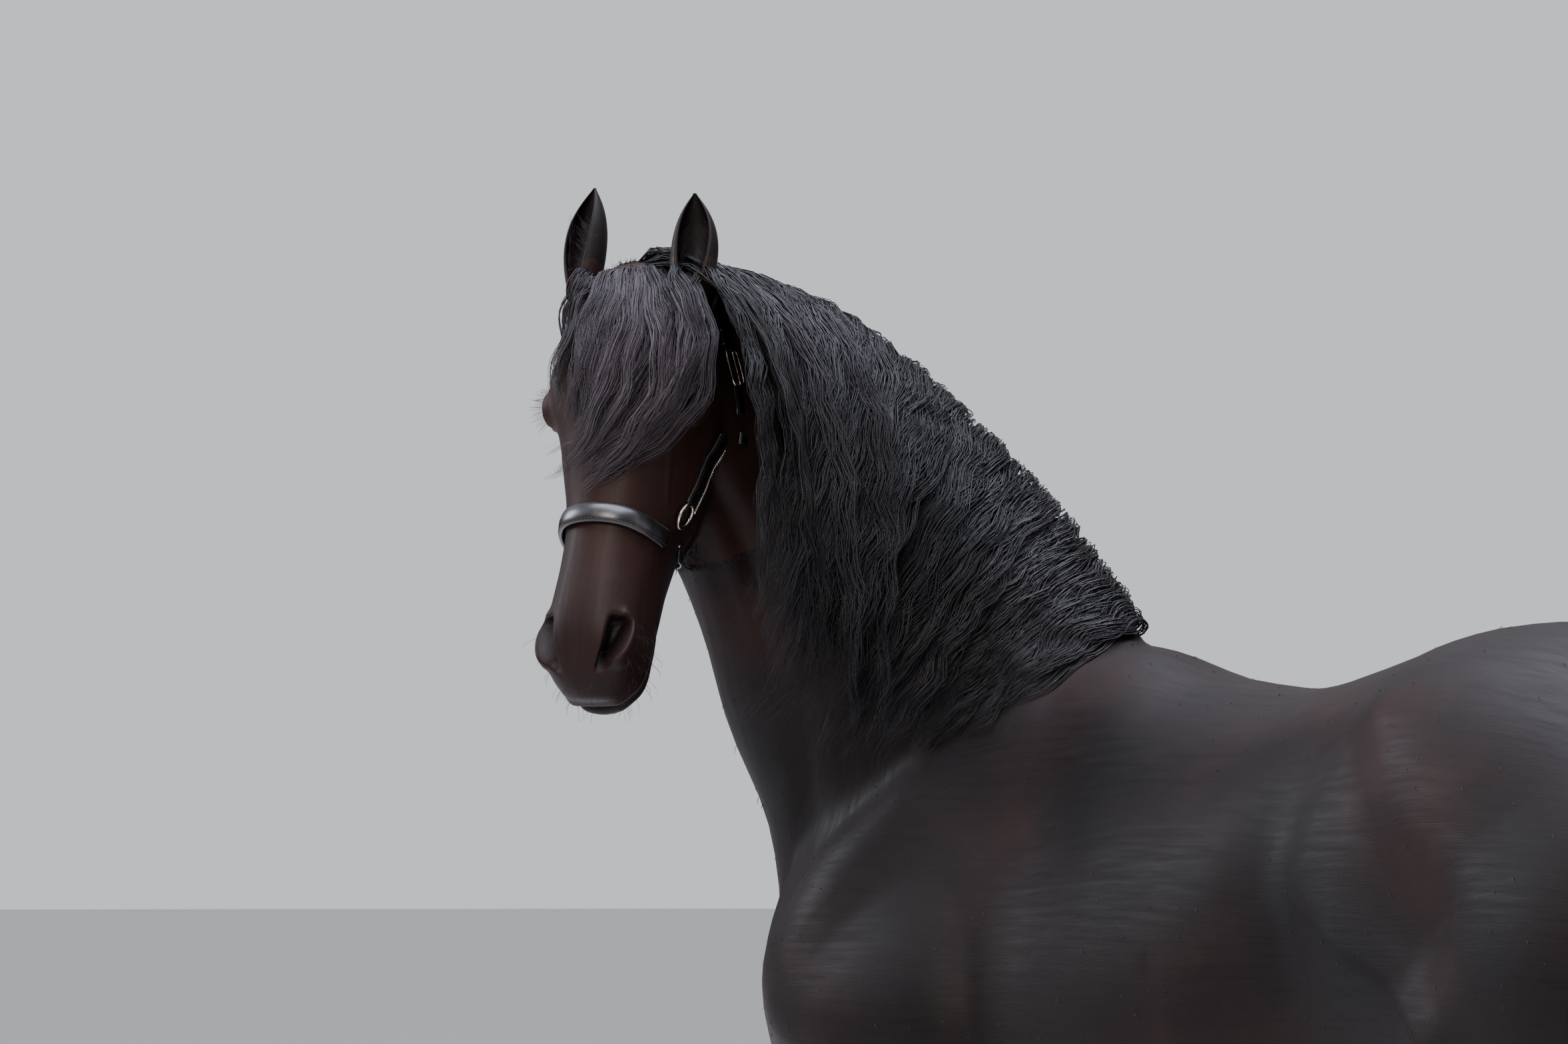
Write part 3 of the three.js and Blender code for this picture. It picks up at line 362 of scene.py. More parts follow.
def neck_sections(share, grow=0.0):
    """Middle, side, up and ahead of the bent neck at shares of its length, with its sizes."""
    share = np.atleast_1d(np.asarray(share, float))
    s = along(NECK, NECK_COLUMNS, share)
    step = np.clip(share, 0, 1) * NECK_STEPS
    low = np.minimum(step.astype(int), NECK_STEPS - 1)
    part = (step - low)[:, None]
    middle = WALK[low] * (1 - part) + WALK[low + 1] * part
    turn = np.radians(s["heading"])
    ahead = np.stack([np.cos(turn), np.sin(turn), 0 * turn], 1)
    rise = ahead * (s["crest_x"] - s["throat_x"])[:, None]
    rise[:, 2] += s["crest_z"] - s["throat_z"]
    depth = np.linalg.norm(rise, axis=1)
    up = unit(rise)
    throat = middle + ahead * ((s["throat_x"] - s["crest_x"]) / 2)[:, None]
    throat[:, 2] += s["throat_z"]
    centre = throat + up * (depth * 0.42)[:, None] + ahead * (grow * (2 * share - 1))[:, None]
    side = np.stack([-np.sin(turn), np.cos(turn), 0 * turn], 1)
    return {
        "centre": centre, "side": side, "up": up, "ahead": ahead,
        "half": s["half"] + grow, "rise": depth * 0.58 + grow, "drop": depth * 0.42 + grow,
    }


def neck_body(grow=0.0, count=80, rows=110):
    """The neck from inside the shoulder to the poll."""
    s = neck_sections(np.linspace(0, 1, rows), grow)
    return loft(placed(rings(
        s["centre"], s["side"], s["up"], s["half"], s["rise"], s["drop"], 1.9, 2.2, count
    )))


def turned_about(v, axis, angle):
    """A vector turned about a unit axis."""
    c, s = math.cos(angle), math.sin(angle)
    return v * c + np.cross(axis, v) * s + axis * np.dot(axis, v) * (1 - c)


def head_frame():
    """Down the face, out of the face, the horse's right and the poll."""
    turn, slope = math.radians(HEAD_TURN), math.radians(FACE_SLOPE)
    ahead = np.array([math.cos(turn), math.sin(turn), 0.0])
    up = np.array([0.0, 0.0, 1.0])
    roll = math.radians(-HEAD_ROLL)
    down = turned_about(ahead * math.sin(slope) - up * math.cos(slope), ahead, roll)
    out = turned_about(ahead * math.cos(slope) + up * math.sin(slope), ahead, roll)
    end = {key: value[0] for key, value in neck_sections(1.0).items()}
    poll = end["centre"] + end["up"] * (end["rise"] - 6) + ahead * 22
    return down, out, np.cross(down, out), poll


DOWN, OUT, RIGHT, POLL = head_frame()
GRAVITY = np.array([0.0, 0.0, -1.0])


def on_head(down, out, right):
    """A place in the frame, given in the head's own millimetres."""
    down, out, right = (np.asarray(v, float)[..., None] for v in (down, out, right))
    return placed(POLL + DOWN * down + OUT * out + RIGHT * right)


def head_places(points):
    """The head's own millimetres of places in the frame."""
    away = (points - SHIFT) * 1000 - POLL
    return np.stack([away @ DOWN, away @ OUT, away @ RIGHT], -1)


def skull_body(grow=0.0, count=80, rows=110):
    """The head without its ears."""
    share = np.linspace(0, 1, rows)
    s = along(HEAD, HEAD_COLUMNS, share)
    centre = POLL + np.outer(s["down"] + grow * (2 * share - 1), DOWN) + np.outer(s["level"], OUT)
    return loft(placed(rings(
        centre, RIGHT, OUT, s["half"] + grow, s["face"] - s["level"] + grow,
        s["level"] - s["jaw"] + grow, s["above"], s["below"], count,
    )))


def ball(count=32, rows=20):
    """Points and faces of a unit ball, its poles on the third axis."""
    turn = 2 * np.pi * np.arange(count) / count
    fall = np.pi * np.arange(1, rows) / rows
    loops = np.stack([
        np.sin(fall)[:, None] * np.cos(turn), np.sin(fall)[:, None] * np.sin(turn),
        np.repeat(np.cos(fall)[:, None], count, 1),
    ], -1)
    points, faces = loft(loops)
    points[-2], points[-1] = (0, 0, 1), (0, 0, -1)
    return points, faces


def head_ball(place, radii, count=32, rows=20):
    """An ellipsoid in the head's frame."""
    points, faces = ball(count, rows)
    local = points * np.array(radii) + np.array(place)
    return on_head(local[:, 0], local[:, 1], local[:, 2]), faces


# Sculpting: swells and creases that are added along the skin's normals, in millimetres

def swell(points, normals, centre, radii, push, axes=None):
    """Moves points out, or in where push is negative, round a centre."""
    away = (points - centre) * 1000
    if axes is not None:
        away = np.stack([away @ axis for axis in axes], -1)
    near = ((away / np.asarray(radii, float)) ** 2).sum(-1)
    return points + normals * (push * 0.001 * np.exp(-near))[:, None]


def gap_to(points, line):
    """How far points lie from a line of places, in metres."""
    line = np.asarray(line, float)
    best = np.full(len(points), np.inf)
    for a, b in zip(line[:-1], line[1:]):
        way = b - a
        share = np.clip(((points - a) @ way) / max(way @ way, 1e-12), 0, 1)
        best = np.minimum(best, np.linalg.norm(points - (a + share[:, None] * way), axis=1))
    return best


def crease(points, normals, line, width, push, only=1.0):
    """Moves points out, or in, along a line of places with soft edges and ends."""
    amount = push * 0.001 * np.exp(-((gap_to(points, line) * 1000 / width) ** 2)) * only
    return points + normals * amount[:, None]


def body_place(x, y, z):
    """A place on the trunk, given before the forehand's bend."""
    return placed(turned([x, y, z]))


def ridge_places(px_places, hand=1):
    """Places on the trunk from lists of x, y, z, given before the bend, on one side."""
    return np.array([body_place(x, hand * y, z) for x, y, z in px_places])


# Muscle and bone that show under the coat: name, places on the left side, width and height in millimetres.
BODY_CREASES = (
    ("blade of the shoulder", ((470, 120, 1520), (640, 190, 1370), (770, 240, 1210)), 40, 5),
    ("hollow behind the blade", ((380, 200, 1500), (370, 262, 1340), (380, 296, 1160)), 64, -6),
    ("hollow before the blade", ((540, 110, 1560), (700, 180, 1420), (830, 190, 1280)), 34, -9),
    ("groove under the arm", ((470, 292, 1030), (430, 290, 930), (470, 250, 905)), 26, -7),
    ("hollow of the breast", ((930, 0, 1240), (910, 0, 1120), (860, 0, 1000)), 26, -16),
    ("fold before the haunch", ((
        -201, 262, 1468
    ), (-201, 280, 1419), (-194, 288, 1371), (-192, 296, 1302),
                                (
                                    -222, 300, 1254
                                ), (-292, 306, 1215), (-362, 310, 1185), (-457, 312, 1108)), 30, 13),
    ("flank", ((-130, 262, 1452), (-128, 286, 1380), (-140, 300, 1290), (-190, 300, 1190)), 52, -12),
    (
        "hollow of the haunch",
        ((-268, 268, 1440), (-300, 280, 1380), (-350, 292, 1310), (-430, 304, 1240)), 66, -15
    ),
    (
        "parting of the thigh",
        ((-690, 220, 1400), (-730, 262, 1240), (-740, 285, 1080), (-690, 270, 960)), 20, -8
    ),
    ("edge of the back", ((-560, 40, 1610), (-300, 60, 1606), (-100, 64, 1568), (150, 60, 1558)), 34, 4),
    ("fold of the stifle", ((-262, 270, 985), (-230, 262, 930), (-190, 240, 880)), 26, 14),
    ("breast muscle", ((905, 70, 1200), (900, 90, 1090), (840, 110, 1000)), 46, 9),
)
BODY_SWELLS = (
    ("point of the hip", (-270, 262, 1532), (58, 50, 46), 15),
    ("top of the croup", (-430, 60, 1604), (150, 60, 60), 7),
    ("point of the shoulder", (835, 215, 1170), (62, 62, 70), 10),
    ("upper arm", (470, 285, 1140), (110, 60, 120), 11),
    ("forearm muscle", (560, 190, 870), (50, 60, 80), 8),
    ("elbow", (345, 225, 960), (38, 45, 45), 9),
    ("stifle", (-300, 285, 1000), (62, 50, 62), 10),
    ("thigh", (-640, 290, 1180), (130, 60, 160), 12),
    ("gaskin muscle", (-590, 200, 850), (70, 60, 70), 9),
    ("buttock", (-850, 90, 1280), (50, 60, 90), 8),
    ("hock point", (-892, 157, 645), (26, 40, 34), 6),
    ("inner hock", (-828, 112, 560), (36, 16, 40), 4),
    ("knee cap", (534, 150, 525), (26, 38, 40), 5),
    ("back of the knee", (432, 150, 500), (20, 30, 30), 4),
    ("fetlock bulb", (436, 150, 225), (20, 34, 26), 3),
)
LEG_GROOVES = (
    ("tendon groove in front", ((462, 184, 450), (466, 178, 340), (462, 186, 250)), 8, -5),
    ("inner groove in front", ((462, 118, 450), (466, 124, 340), (462, 116, 250)), 8, -5),
    ("tendon groove behind", ((-826, 192, 470), (-828, 182, 350), (-822, 190, 255)), 8, -5),
    ("inner groove behind", ((-826, 120, 470), (-828, 128, 350), (-822, 116, 255)), 8, -5),
    ("hollow of the hock", ((-826, 207, 700), (-846, 206, 650), (-850, 205, 600)), 14, -9),
    ("inner hollow of the hock", ((-826, 103, 700), (-846, 106, 650), (-850, 106, 600)), 14, -8),
)
# On the head's own axes: down the face, out of it and to one side.
HEAD_CREASES = (
    ("facial crest", ((202, -84, 96), (256, -92, 88), (310, -92, 74)), 13, 4),
    ("edge of the nose bone", ((150, 8, 64), (244, 2, 52), (350, -8, 44), (430, -14, 38)), 20, 1.6),
    ("hollow over the crest", ((236, -44, 84), (296, -44, 72), (370, -46, 60)), 24, -2.6),
    ("arch behind the eye", ((164, -22, 104), (130, -26, 104), (94, -44, 96)), 13, 3.4),
    ("edge of the jaw", ((117, -262, 40), (185, -278, 42), (256, -250, 44), (322, -200, 42)), 18, 4),
    (
        "hollow between the jaws", ((146, -280, 0), (244, -268, 0), (390, -162, 0), (458, -146, 0)), 22,
        -13
    ),
    (
        "vein to the eye",
        ((428, -92, 58), (382, -88, 64), (332, -70, 72), (294, -52, 76), (256, -38, 84)), 4, 1.3
    ),
    ("vein across the cheek", ((292, -150, 74), (256, -120, 88), (230, -108, 92)), 4, 1.2),
    ("vein of the nose", ((382, -88, 64), (362, -46, 62), (332, -22, 56)), 4, 1.0),
    ("lower lid fold", ((167, -76, 92), (187, -82, 96), (211, -76, 94), (227, -62, 92)), 4, -2.2),
    ("upper lid fold", ((163, -22, 100), (183, -12, 102), (205, -16, 102), (223, -30, 98)), 4, -2.6),
    ("brow", ((154, -4, 92), (182, 3, 92), (210, -4, 90)), 10, 4),
    ("wrinkle behind the nostril", ((488, -64, 70), (502, -72, 70), (524, -76, 70)), 4, -2.2),
    ("wrinkle of the mouth", ((468, -96, 64), (474, -110, 62), (482, -122, 58)), 4, -2.4),
)
HEAD_SWELLS = (
    ("cheek", (204, -180, 84), (74, 66, 40), 8),
    ("hollow of the temple", (114, -4, 66), (24, 20, 26), -6),
    ("forehead", (108, 26, 0), (60, 30, 50), 4),
    ("nose between the nostrils", (528, -10, 0), (40, 26, 26), -3),
    ("upper lip", (572, -46, 0), (26, 30, 36), 6),
    ("chin", (552, -136, 0), (34, 26, 30), 8),
    ("lower lip", (578, -114, 0), (20, 20, 28), 5),
    ("bars of the jaw", (410, -150, 34), (60, 24, 24), 3),
    ("cheek behind the mouth", (438, -98, 62), (36, 30, 20), 3),
    ("back of the jaw", (146, -230, 76), (40, 40, 30), 4),
)


def almond(places):
    """How far places of the head lie outside one eye's opening, in millimetres."""
    long = places[:, 0] - (EYE["down"] + 1)
    high = places[:, 1] - (EYE["depth"] - 1)
    tilt = 0.18
    long, high = long + tilt * high, high - tilt * long
    reach = np.clip(np.abs(long) / 25.0, 0, 1)
    upper = 15.0 * (1 - reach ** 2.2)
    lower = -11.0 * (1 - reach ** 2.0)
    side = np.where(high > 0, high - upper, lower - high)
    beyond = np.hypot(np.maximum(np.abs(long) - 25.0, 0), np.abs(high))
    return np.where(np.abs(long) > 25.0, beyond, side)


def shaped_lids(points, places):
    """Draws the skin round each eye on to the eyeball, and behind it inside the opening."""
    for _, hand in HANDS:
        centre = on_head(EYE["down"], EYE["depth"], -hand * EYE["out"])
        away = points - centre
        far = np.linalg.norm(away, axis=1) * 1000
        facing = (places[:, 2] * -hand > EYE["out"] + 2) & (far < 46)
        gap = almond(places)
        wanted = np.where(gap < 0, EYE["radius"] - 4.5, EYE["radius"] + 3.2 + 0.9 * np.minimum(gap, 6))
        blend = np.clip((16 - gap) / 12, 0, 1)
        blend = np.where(gap < 0, 1, blend * blend * (3 - 2 * blend)) * facing
        target = centre + away / np.maximum(far, 1e-6)[:, None] * wanted[:, None]
        points = points + (target - points) * blend[:, None]
    return points


def nostril_share(places):
    """How much of a place belongs to a comma-shaped nostril, and how much to the wing round it."""
    corner = np.arctan2(places[:, 1] + 68, np.abs(places[:, 2]))
    long = places[:, 0] - 518
    high = (corner - math.radians(44)) * 72 - 0.16 * long - 0.004 * np.maximum(long, 0) ** 2
    inside = np.exp(-((long / 30) ** 4 + (high / np.clip(11.5 - 0.08 * long, 6, 14)) ** 4))
    rim = np.exp(-(((
        np.sqrt((long / 33) ** 2 + (high / 15) ** 2) - 1.2
    ) / 0.32) ** 2)) * np.where(high < 0, 1, 0.35)
    return inside, rim


def shaped_nostrils(points, places):
    """Sinks a nostril into either front corner of the nose, with a raised wing round it."""
    inside, rim = nostril_share(places)
    for _, hand in HANDS:
        facing = places[:, 2] * hand > 12
        inward = unit(-hand * RIGHT * 0.62 - OUT * 0.66 - DOWN * 0.42)
        points = points + (inside * 34 * facing * 0.001)[:, None] * inward
        raised = rim * facing * 0.0017 * (1 - inside)
        points = points + raised[:, None] * (hand * RIGHT * 0.75 + OUT * 0.35)
    return points


def shaped_mouth(points, normals, places):
    """Parts the lips round the front of the muzzle, and fills either lip."""
    line = np.interp(places[:, 0], (470, 520, 560, 583), (-106, -104, -100, -93))
    gap = places[:, 1] - line
    front = np.clip((places[:, 0] - 474) / 24, 0, 1) * (np.abs(places[:, 2]) < 90)
    lips = 3.0 * np.exp(-(((gap - 12) / 7) ** 2)) + 3.4 * np.exp(-(((gap + 12) / 7) ** 2))
    amount = (lips * np.clip((places[:, 0] - 520) / 40, 0, 1) - 9.0 * np.exp(-((gap / 3.4) ** 2))) * front
    return points + normals * (amount * 0.001)[:, None]


def is_on_head(places, slack=0.0):
    """Whether places of the head lie on the skull rather than on the neck."""
    s = along(HEAD, HEAD_COLUMNS, np.linspace(0, 1, 60))
    jaw = np.interp(places[:, 0], s["down"], s["jaw"])
    inside = (places[:, 0] > -12 - slack) & (places[:, 0] < 660) & (np.abs(places[:, 2]) < 150)
    return inside & (places[:, 1] > jaw - 14 - slack) & (places[:, 1] < 90)


def sculpt_body(points, normals):
    """Muscles, bones, folds and tendons of trunk and legs, the same on both sides."""
    for _, hand in HANDS:
        for _, line, width, push in BODY_CREASES + LEG_GROOVES:
            if hand < 0 and line[0][1] == 0:
                continue
            points = crease(points, normals, ridge_places(line, hand), width, push)
        for _, (x, y, z), radii, push in BODY_SWELLS:
            points = swell(points, normals, body_place(x, hand * y, z), radii, push)
        for rib in range(9):
            x = 300 - 56 * rib
            line = ((x + 20, 262, 1400), (x, 296, 1250), (x - 26, 300, 1080))
            points = crease(points, normals, ridge_places(line, hand), 13, 1.5)
    share = np.linspace(0.1, 0.93, 14)
    s = neck_sections(share)
    for _, hand in HANDS:
        groove = placed(
            s["centre"] + s["side"] * (hand * s["half"] * 0.86)[:, None] - s["up"]
            * (s["drop"] * 0.52)[:, None]
        )
        points = crease(points, normals, groove, 20, -8)
        crest = placed(
            s["centre"] + s["side"] * (hand * s["half"] * 0.55)[:, None] + s["up"]
            * (s["rise"] * 0.62)[:, None]
        )
        points = crease(points, normals, crest, 26, 5)
        plate = placed(
            s["centre"] + s["side"] * (hand * s["half"])[:, None] + s["up"] * (s["rise"] * 0.14)[:, None]
        )
        points = crease(points, normals, plate, 30, 3.5)
    return points


def sculpt_head(points, normals, places):
    """Bones, veins, folds, lids, nostrils and lips of the head."""
    near = is_on_head(places, 20).astype(float)
    for _, hand in HANDS:
        for _, line, width, push in HEAD_CREASES:
            line = np.array(line, float)
            if hand < 0 and not line[:, 2].any():
                continue
            route = on_head(line[:, 0], line[:, 1], hand * line[:, 2])
            points = crease(points, normals, route, width, push, near)
        for _, (down, out, aside), radii, push in HEAD_SWELLS:
            if hand < 0 and aside == 0:
                continue
            points = swell(
                points, normals, on_head(down, out, hand * aside), radii, push, (DOWN, OUT, RIGHT)
            )
    return points


DOCK = (
    ("in the dock", -815, 1392, 30, 26),
    ("dock", -880, 1375, 33, 25),
    ("bend", -905, 1310, 26, 18),
    ("end", -914, 1180, 12, 9),
)


def dock_body(count=32, rows=30):
    """The fleshy root of the tail."""
    s = along(DOCK, ("x", "z", "half", "deep"), np.linspace(0, 1, rows))
    centre = np.stack([s["x"], 0 * s["x"], s["z"]], 1)
    way = unit(np.gradient(centre, axis=0))
    side = np.broadcast_to((0.0, 1.0, 0.0), centre.shape)
    return loft(placed(rings(
        centre, side, np.cross(way, side), s["half"], s["deep"], s["deep"], 2, 2, count
    )))


def unturned(points):
    """Millimetres of the tables before the forehand's bend, for places in the frame."""
    p = (points - SHIFT) * 1000
    start, end, most = FRONT_TURN["from"], FRONT_TURN["to"], math.radians(FRONT_TURN["angle"])
    radius = (end - start) / most
    away = p[:, 0] - start
    turn = np.clip(np.arctan2(away, radius - p[:, 1]), 0, most)
    far = np.hypot(away, radius - p[:, 1])
    straight = np.array(p)
    bent = away > 0
    straight[:, 0] = np.where(bent, start + turn * radius, p[:, 0])
    straight[:, 1] = np.where(bent, radius - far, p[:, 1])
    past = bent & (turn >= most)
    on_arc = np.stack([start + radius * math.sin(most), radius - radius * math.cos(most)])
    rest = p[:, :2] - on_arc
    ahead = rest @ np.array([math.cos(most), math.sin(most)])
    side = rest @ np.array([-math.sin(most), math.cos(most)])
    straight[:, 0] = np.where(past, end + ahead, straight[:, 0])
    straight[:, 1] = np.where(past, side, straight[:, 1])
    return straight


def unwrap(points):
    """Lie of the coat in metres, and a place on a flat chart of the skin, for places in the frame."""
    places = head_places(points)
    head = is_on_head(places)
    flat = unturned(points)
    x, y, z = flat.T
    leg = (z < 800) | ((z < 905) & (((x > 340) & (x < 700)) | ((x > -860) & (x < -300))))
    share = np.linspace(0, 1, 80)
    s = neck_sections(share)
    middle = placed(s["centre"])
    gap = np.full(len(points), np.inf)
    best = np.zeros(len(points), int)
    for i, centre in enumerate(middle):
        plane = np.abs((points - centre) @ np.cross(
            s["side"][i], s["up"][i]
        )) + 0.15 * np.linalg.norm(points - centre, axis=1)
        closer = plane < gap
        gap[closer] = plane[closer]
        best[closer] = i
    away = (points - middle[best]) * 1000
    side = (away * s["side"][best]).sum(1)
    up = (away * s["up"][best]).sum(1)
    neck = ~head & (share[best] > 0.14) & (z > 1180) & (np.hypot(
        side / (s["half"][best] + 30), up / (s["rise"][best] + 30)
    ) < 1.15)
    neck &= ~leg
    fore = x > -100
    leg_x = np.where(fore, 480, -810)
    leg_side = np.sign(y)
    around_leg = np.arctan2(np.abs(y) - 150, x - leg_x)
    around_trunk = np.arctan2(y, z - 1180)
    around_neck = np.arctan2(side, up)
    around_head = np.arctan2(places[:, 2], places[:, 1] + 90)
    lay = np.stack([-x, around_trunk * 300, 0 * x], 1)
    chart = np.stack(
        [0.02 + 0.50 * (x + 900) / 1850, 0.02 + 0.44 * (around_trunk / (2 * np.pi) + 0.5)], 1
    )
    lay = np.where(neck[:, None], np.stack([-share[best] * 900, around_neck * 130, 0 * x + 700], 1), lay)
    chart = np.where(
        neck[:, None],
        np.stack([0.56 + 0.40 * share[best], 0.02 + 0.44 * (around_neck / (2 * np.pi) + 0.5)], 1), chart
    )
    lay = np.where(head[:, None], np.stack([places[:, 0], around_head * 80, 0 * x + 1400], 1), lay)
    chart = np.where(
        head[:, None],
        np.stack(
            [0.56 + 0.40 * (places[:, 0] + 40) / 700, 0.52 + 0.44 * (around_head / (2 * np.pi) + 0.5)], 1
        ),
        chart
    )
    lay = np.where(leg[:, None], np.stack([-z, around_leg * 60, 0 * x + 2100], 1), lay)
    column = np.where(fore, 0.0, 0.26) + np.where(leg_side > 0, 0.0, 0.13)
    chart = np.where(
        leg[:, None],
        np.stack([0.02 + column + 0.11 * (around_leg / (2 * np.pi) + 0.5), 0.52 + 0.44 * z / 905], 1),
        chart
    )
    return lay * 0.001, chart


# Materials

def linear(hex_colour):
    """An sRGB hex colour as linear red, green, blue and alpha."""
    parts = [int(hex_colour[i:i + 2], 16) / 255 for i in (1, 3, 5)]
    return [p / 12.92 if p <= 0.04045 else ((p + 0.055) / 1.055) ** 2.4 for p in parts] + [1.0]


def add_node(tree, kind, inputs=None, stops=(), **settings):
    """Adds a node, sets its properties, fills or links its inputs and lays out its colour stops."""
    node = tree.nodes.new(kind)
    for name, value in settings.items():
        setattr(node, name, value)
    for i, (place, colour) in enumerate(stops):
        stop = node.color_ramp.elements[i] if i < 2 else node.color_ramp.elements.new(place)
        stop.position, stop.color = place, linear(colour)
    for name, value in (inputs or {}).items():
        socket = node.inputs[name]
        if isinstance(value, bpy.types.NodeSocket):
            tree.links.new(value, socket)
        else:
            socket.default_value = value
    return node


def new_material(name, finish):
    """A material with its shader, its own values set on the shader's sockets."""
    made = bpy.data.materials.new(name)
    made.use_nodes = True
    tree = made.node_tree
    tree.nodes.clear()
    shader = add_node(tree, "ShaderNodeBsdfPrincipled", finish)
    output = add_node(tree, "ShaderNodeOutputMaterial")
    tree.links.new(shader.outputs["BSDF"], output.inputs["Surface"])
    return made, tree, shader


def coat_material():
    """Short horse hair, brushed flat: near black, brown where it is thin, satin where it faces the sky."""
    made, tree, shader = new_material("short_black_coat", {
        "IOR": 1.5, "Specular IOR Level": 0.15, "Sheen Weight": 0.05, "Sheen Roughness": 0.35,
        "Sheen Tint": linear("#b9a9b8"),
    })
    places = add_node(tree, "ShaderNodeTexCoord").outputs["Object"]
    lay = add_node(tree, "ShaderNodeAttribute", attribute_name="lay").outputs["Vector"]
    # Patches about 300 mm across, browner where sun and sweat bleach the coat
    patches = add_node(
        tree, "ShaderNodeTexNoise", {"Vector": places, "Scale": 3.2, "Detail": 4.0, "Roughness": 0.55}
    )
    worn = add_node(tree, "ShaderNodeValToRGB", {"Fac": patches.outputs["Fac"]}, stops=(
        (0.34, "#0a0606"), (0.54, "#150c0b"), (0.74, "#2a1713"),
    ))
    # Single hairs of 0.1 mm can't show, so the grain is drawn 1.1 mm across and 14 mm along
    grain_places = add_node(tree, "ShaderNodeMapping", {"Vector": lay, "Scale": (70.0, 900.0, 1.0)})
    grain = add_node(
        tree, "ShaderNodeTexNoise",
        {"Vector": grain_places.outputs["Vector"], "Scale": 1.0, "Detail": 3.0, "Roughness": 0.6}
    )
    # Combed streaks, about 9 mm across and 120 mm along
    streak_places = add_node(tree, "ShaderNodeMapping", {"Vector": lay, "Scale": (8.0, 110.0, 1.0)})
    streak = add_node(
        tree, "ShaderNodeTexNoise",
        {"Vector": streak_places.outputs["Vector"], "Scale": 1.0, "Detail": 4.0, "Roughness": 0.62}
    )
    light = add_node(
        tree, "ShaderNodeValToRGB", {"Fac": grain.outputs["Fac"]},
        stops=((0.3, "#8f8f8f"), (0.7, "#ffffff"))
    )
    colour = add_node(
        tree, "ShaderNodeMix", {0: 0.5, 6: worn.outputs["Color"], 7: light.outputs["Color"]},
        data_type="RGBA", blend_type="MULTIPLY"
    )
    # The lay's third value is 1.4 m on the head, where the thin coat shows more brown
    depth = add_node(tree, "ShaderNodeSeparateXYZ", {"Vector": lay}).outputs["Z"]
    head = add_node(tree, "ShaderNodeMath", {0: depth, 1: 1.4, 2: 0.3}, operation="COMPARE")
    share = add_node(
        tree, "ShaderNodeMath", {0: head.outputs["Value"], 1: patches.outputs["Fac"]},
        operation="MULTIPLY"
    )
    brown = add_node(
        tree, "ShaderNodeMix", {0: share.outputs["Value"], 6: colour.outputs[2], 7: linear("#27150f")},
        data_type="RGBA"
    )
    # Painted shade inside the nostrils: where the hollow mask lies, the coat's colour is mixed towards near
    # black to stand in for the shade in the recess
    hollow = add_node(tree, "ShaderNodeAttribute", attribute_name="hollow").outputs["Fac"]
    painted_nostril_shade = add_node(
        tree, "ShaderNodeMix", {0: hollow, 6: brown.outputs[2], 7: linear("#020101")}, data_type="RGBA"
    )
    tree.links.new(painted_nostril_shade.outputs[2], shader.inputs["Base Color"])
    gloss = add_node(tree, "ShaderNodeMapRange", {
        "Value": streak.outputs["Fac"], "From Min": 0.3, "From Max": 0.7, "To Min": 0.44, "To Max": 0.60,
    })
    tree.links.new(gloss.outputs["Result"], shader.inputs["Roughness"])
    both = add_node(
        tree, "ShaderNodeMath", {0: streak.outputs["Fac"], 1: 1.6, 2: grain.outputs["Fac"]},
        operation="MULTIPLY_ADD"
    )
    bump = add_node(
        tree, "ShaderNodeBump", {"Strength": 0.20, "Distance": 0.0010, "Height": both.outputs["Value"]}
    )
    tree.links.new(bump.outputs["Normal"], shader.inputs["Normal"])
    return made


def hair_material(name, dark, light, roughness):
    """Long horse hair: each strand its own tone, with a satin shine."""
    made, tree, shader = new_material(name, {
        "IOR": 1.55, "Specular IOR Level": 0.22, "Roughness": roughness,
        "Sheen Weight": 0.02, "Sheen Roughness": 0.3,
        "Sheen Tint": linear("#9aa3b5"),
    })
    tone = add_node(tree, "ShaderNodeAttribute", attribute_name="tone").outputs["Fac"]
    colour = add_node(
        tree, "ShaderNodeValToRGB", {"Fac": tone}, stops=((0.0, dark), (1.0, light))
    ).outputs["Color"]
    tree.links.new(colour, shader.inputs["Base Color"])
    places = add_node(tree, "ShaderNodeTexCoord").outputs["Object"]
    # Uneven thickness every 2.4 mm breaks up the shine along a strand
    rough = add_node(tree, "ShaderNodeTexNoise", {"Vector": places, "Scale": 420.0, "Detail": 2.0})
    bump = add_node(
        tree, "ShaderNodeBump", {"Strength": 0.15, "Distance": 0.0004, "Height": rough.outputs["Fac"]}
    )
    tree.links.new(bump.outputs["Normal"], shader.inputs["Normal"])
    return made


# Hair

def skin_tree():
    """The finished skin as a tree for nearest places and rays."""
    mesh = bpy.data.objects["skin"].data
    points = [v.co for v in mesh.vertices]
    return BVHTree.FromPolygons(points, [p.vertices for p in mesh.polygons])


def comb(tree, root, heading, normal, length, fall, lift, steps=22, stiff=0.84, turn=None):
    """One guide: it starts along its heading, falls under its weight and is held off the skin."""
    step = length / steps
    place = np.array(root) + normal * lift * 0.4
    out, way = np.array(normal, float), unit(heading)
    path, outs = [place - normal * (lift + 0.012), place], [out, out]
    for i in range(steps):
        pull = fall if turn is None else unit(fall + turn * (i / steps) ** 2)
        way = unit(way * stiff + pull * (1 - stiff))
        place = place + way * step
        touch, face, _, _ = tree.find_nearest(Vector(place))
        face = np.array(face)
        high = (place - np.array(touch)) @ face
        if high < lift:
            place = np.array(touch) + face * lift
        out = unit(face) if high < 3 * lift else unit(out * 0.8 + face * 0.2)
        path.append(place)
        outs.append(out)
    return np.array(path), np.array(outs)


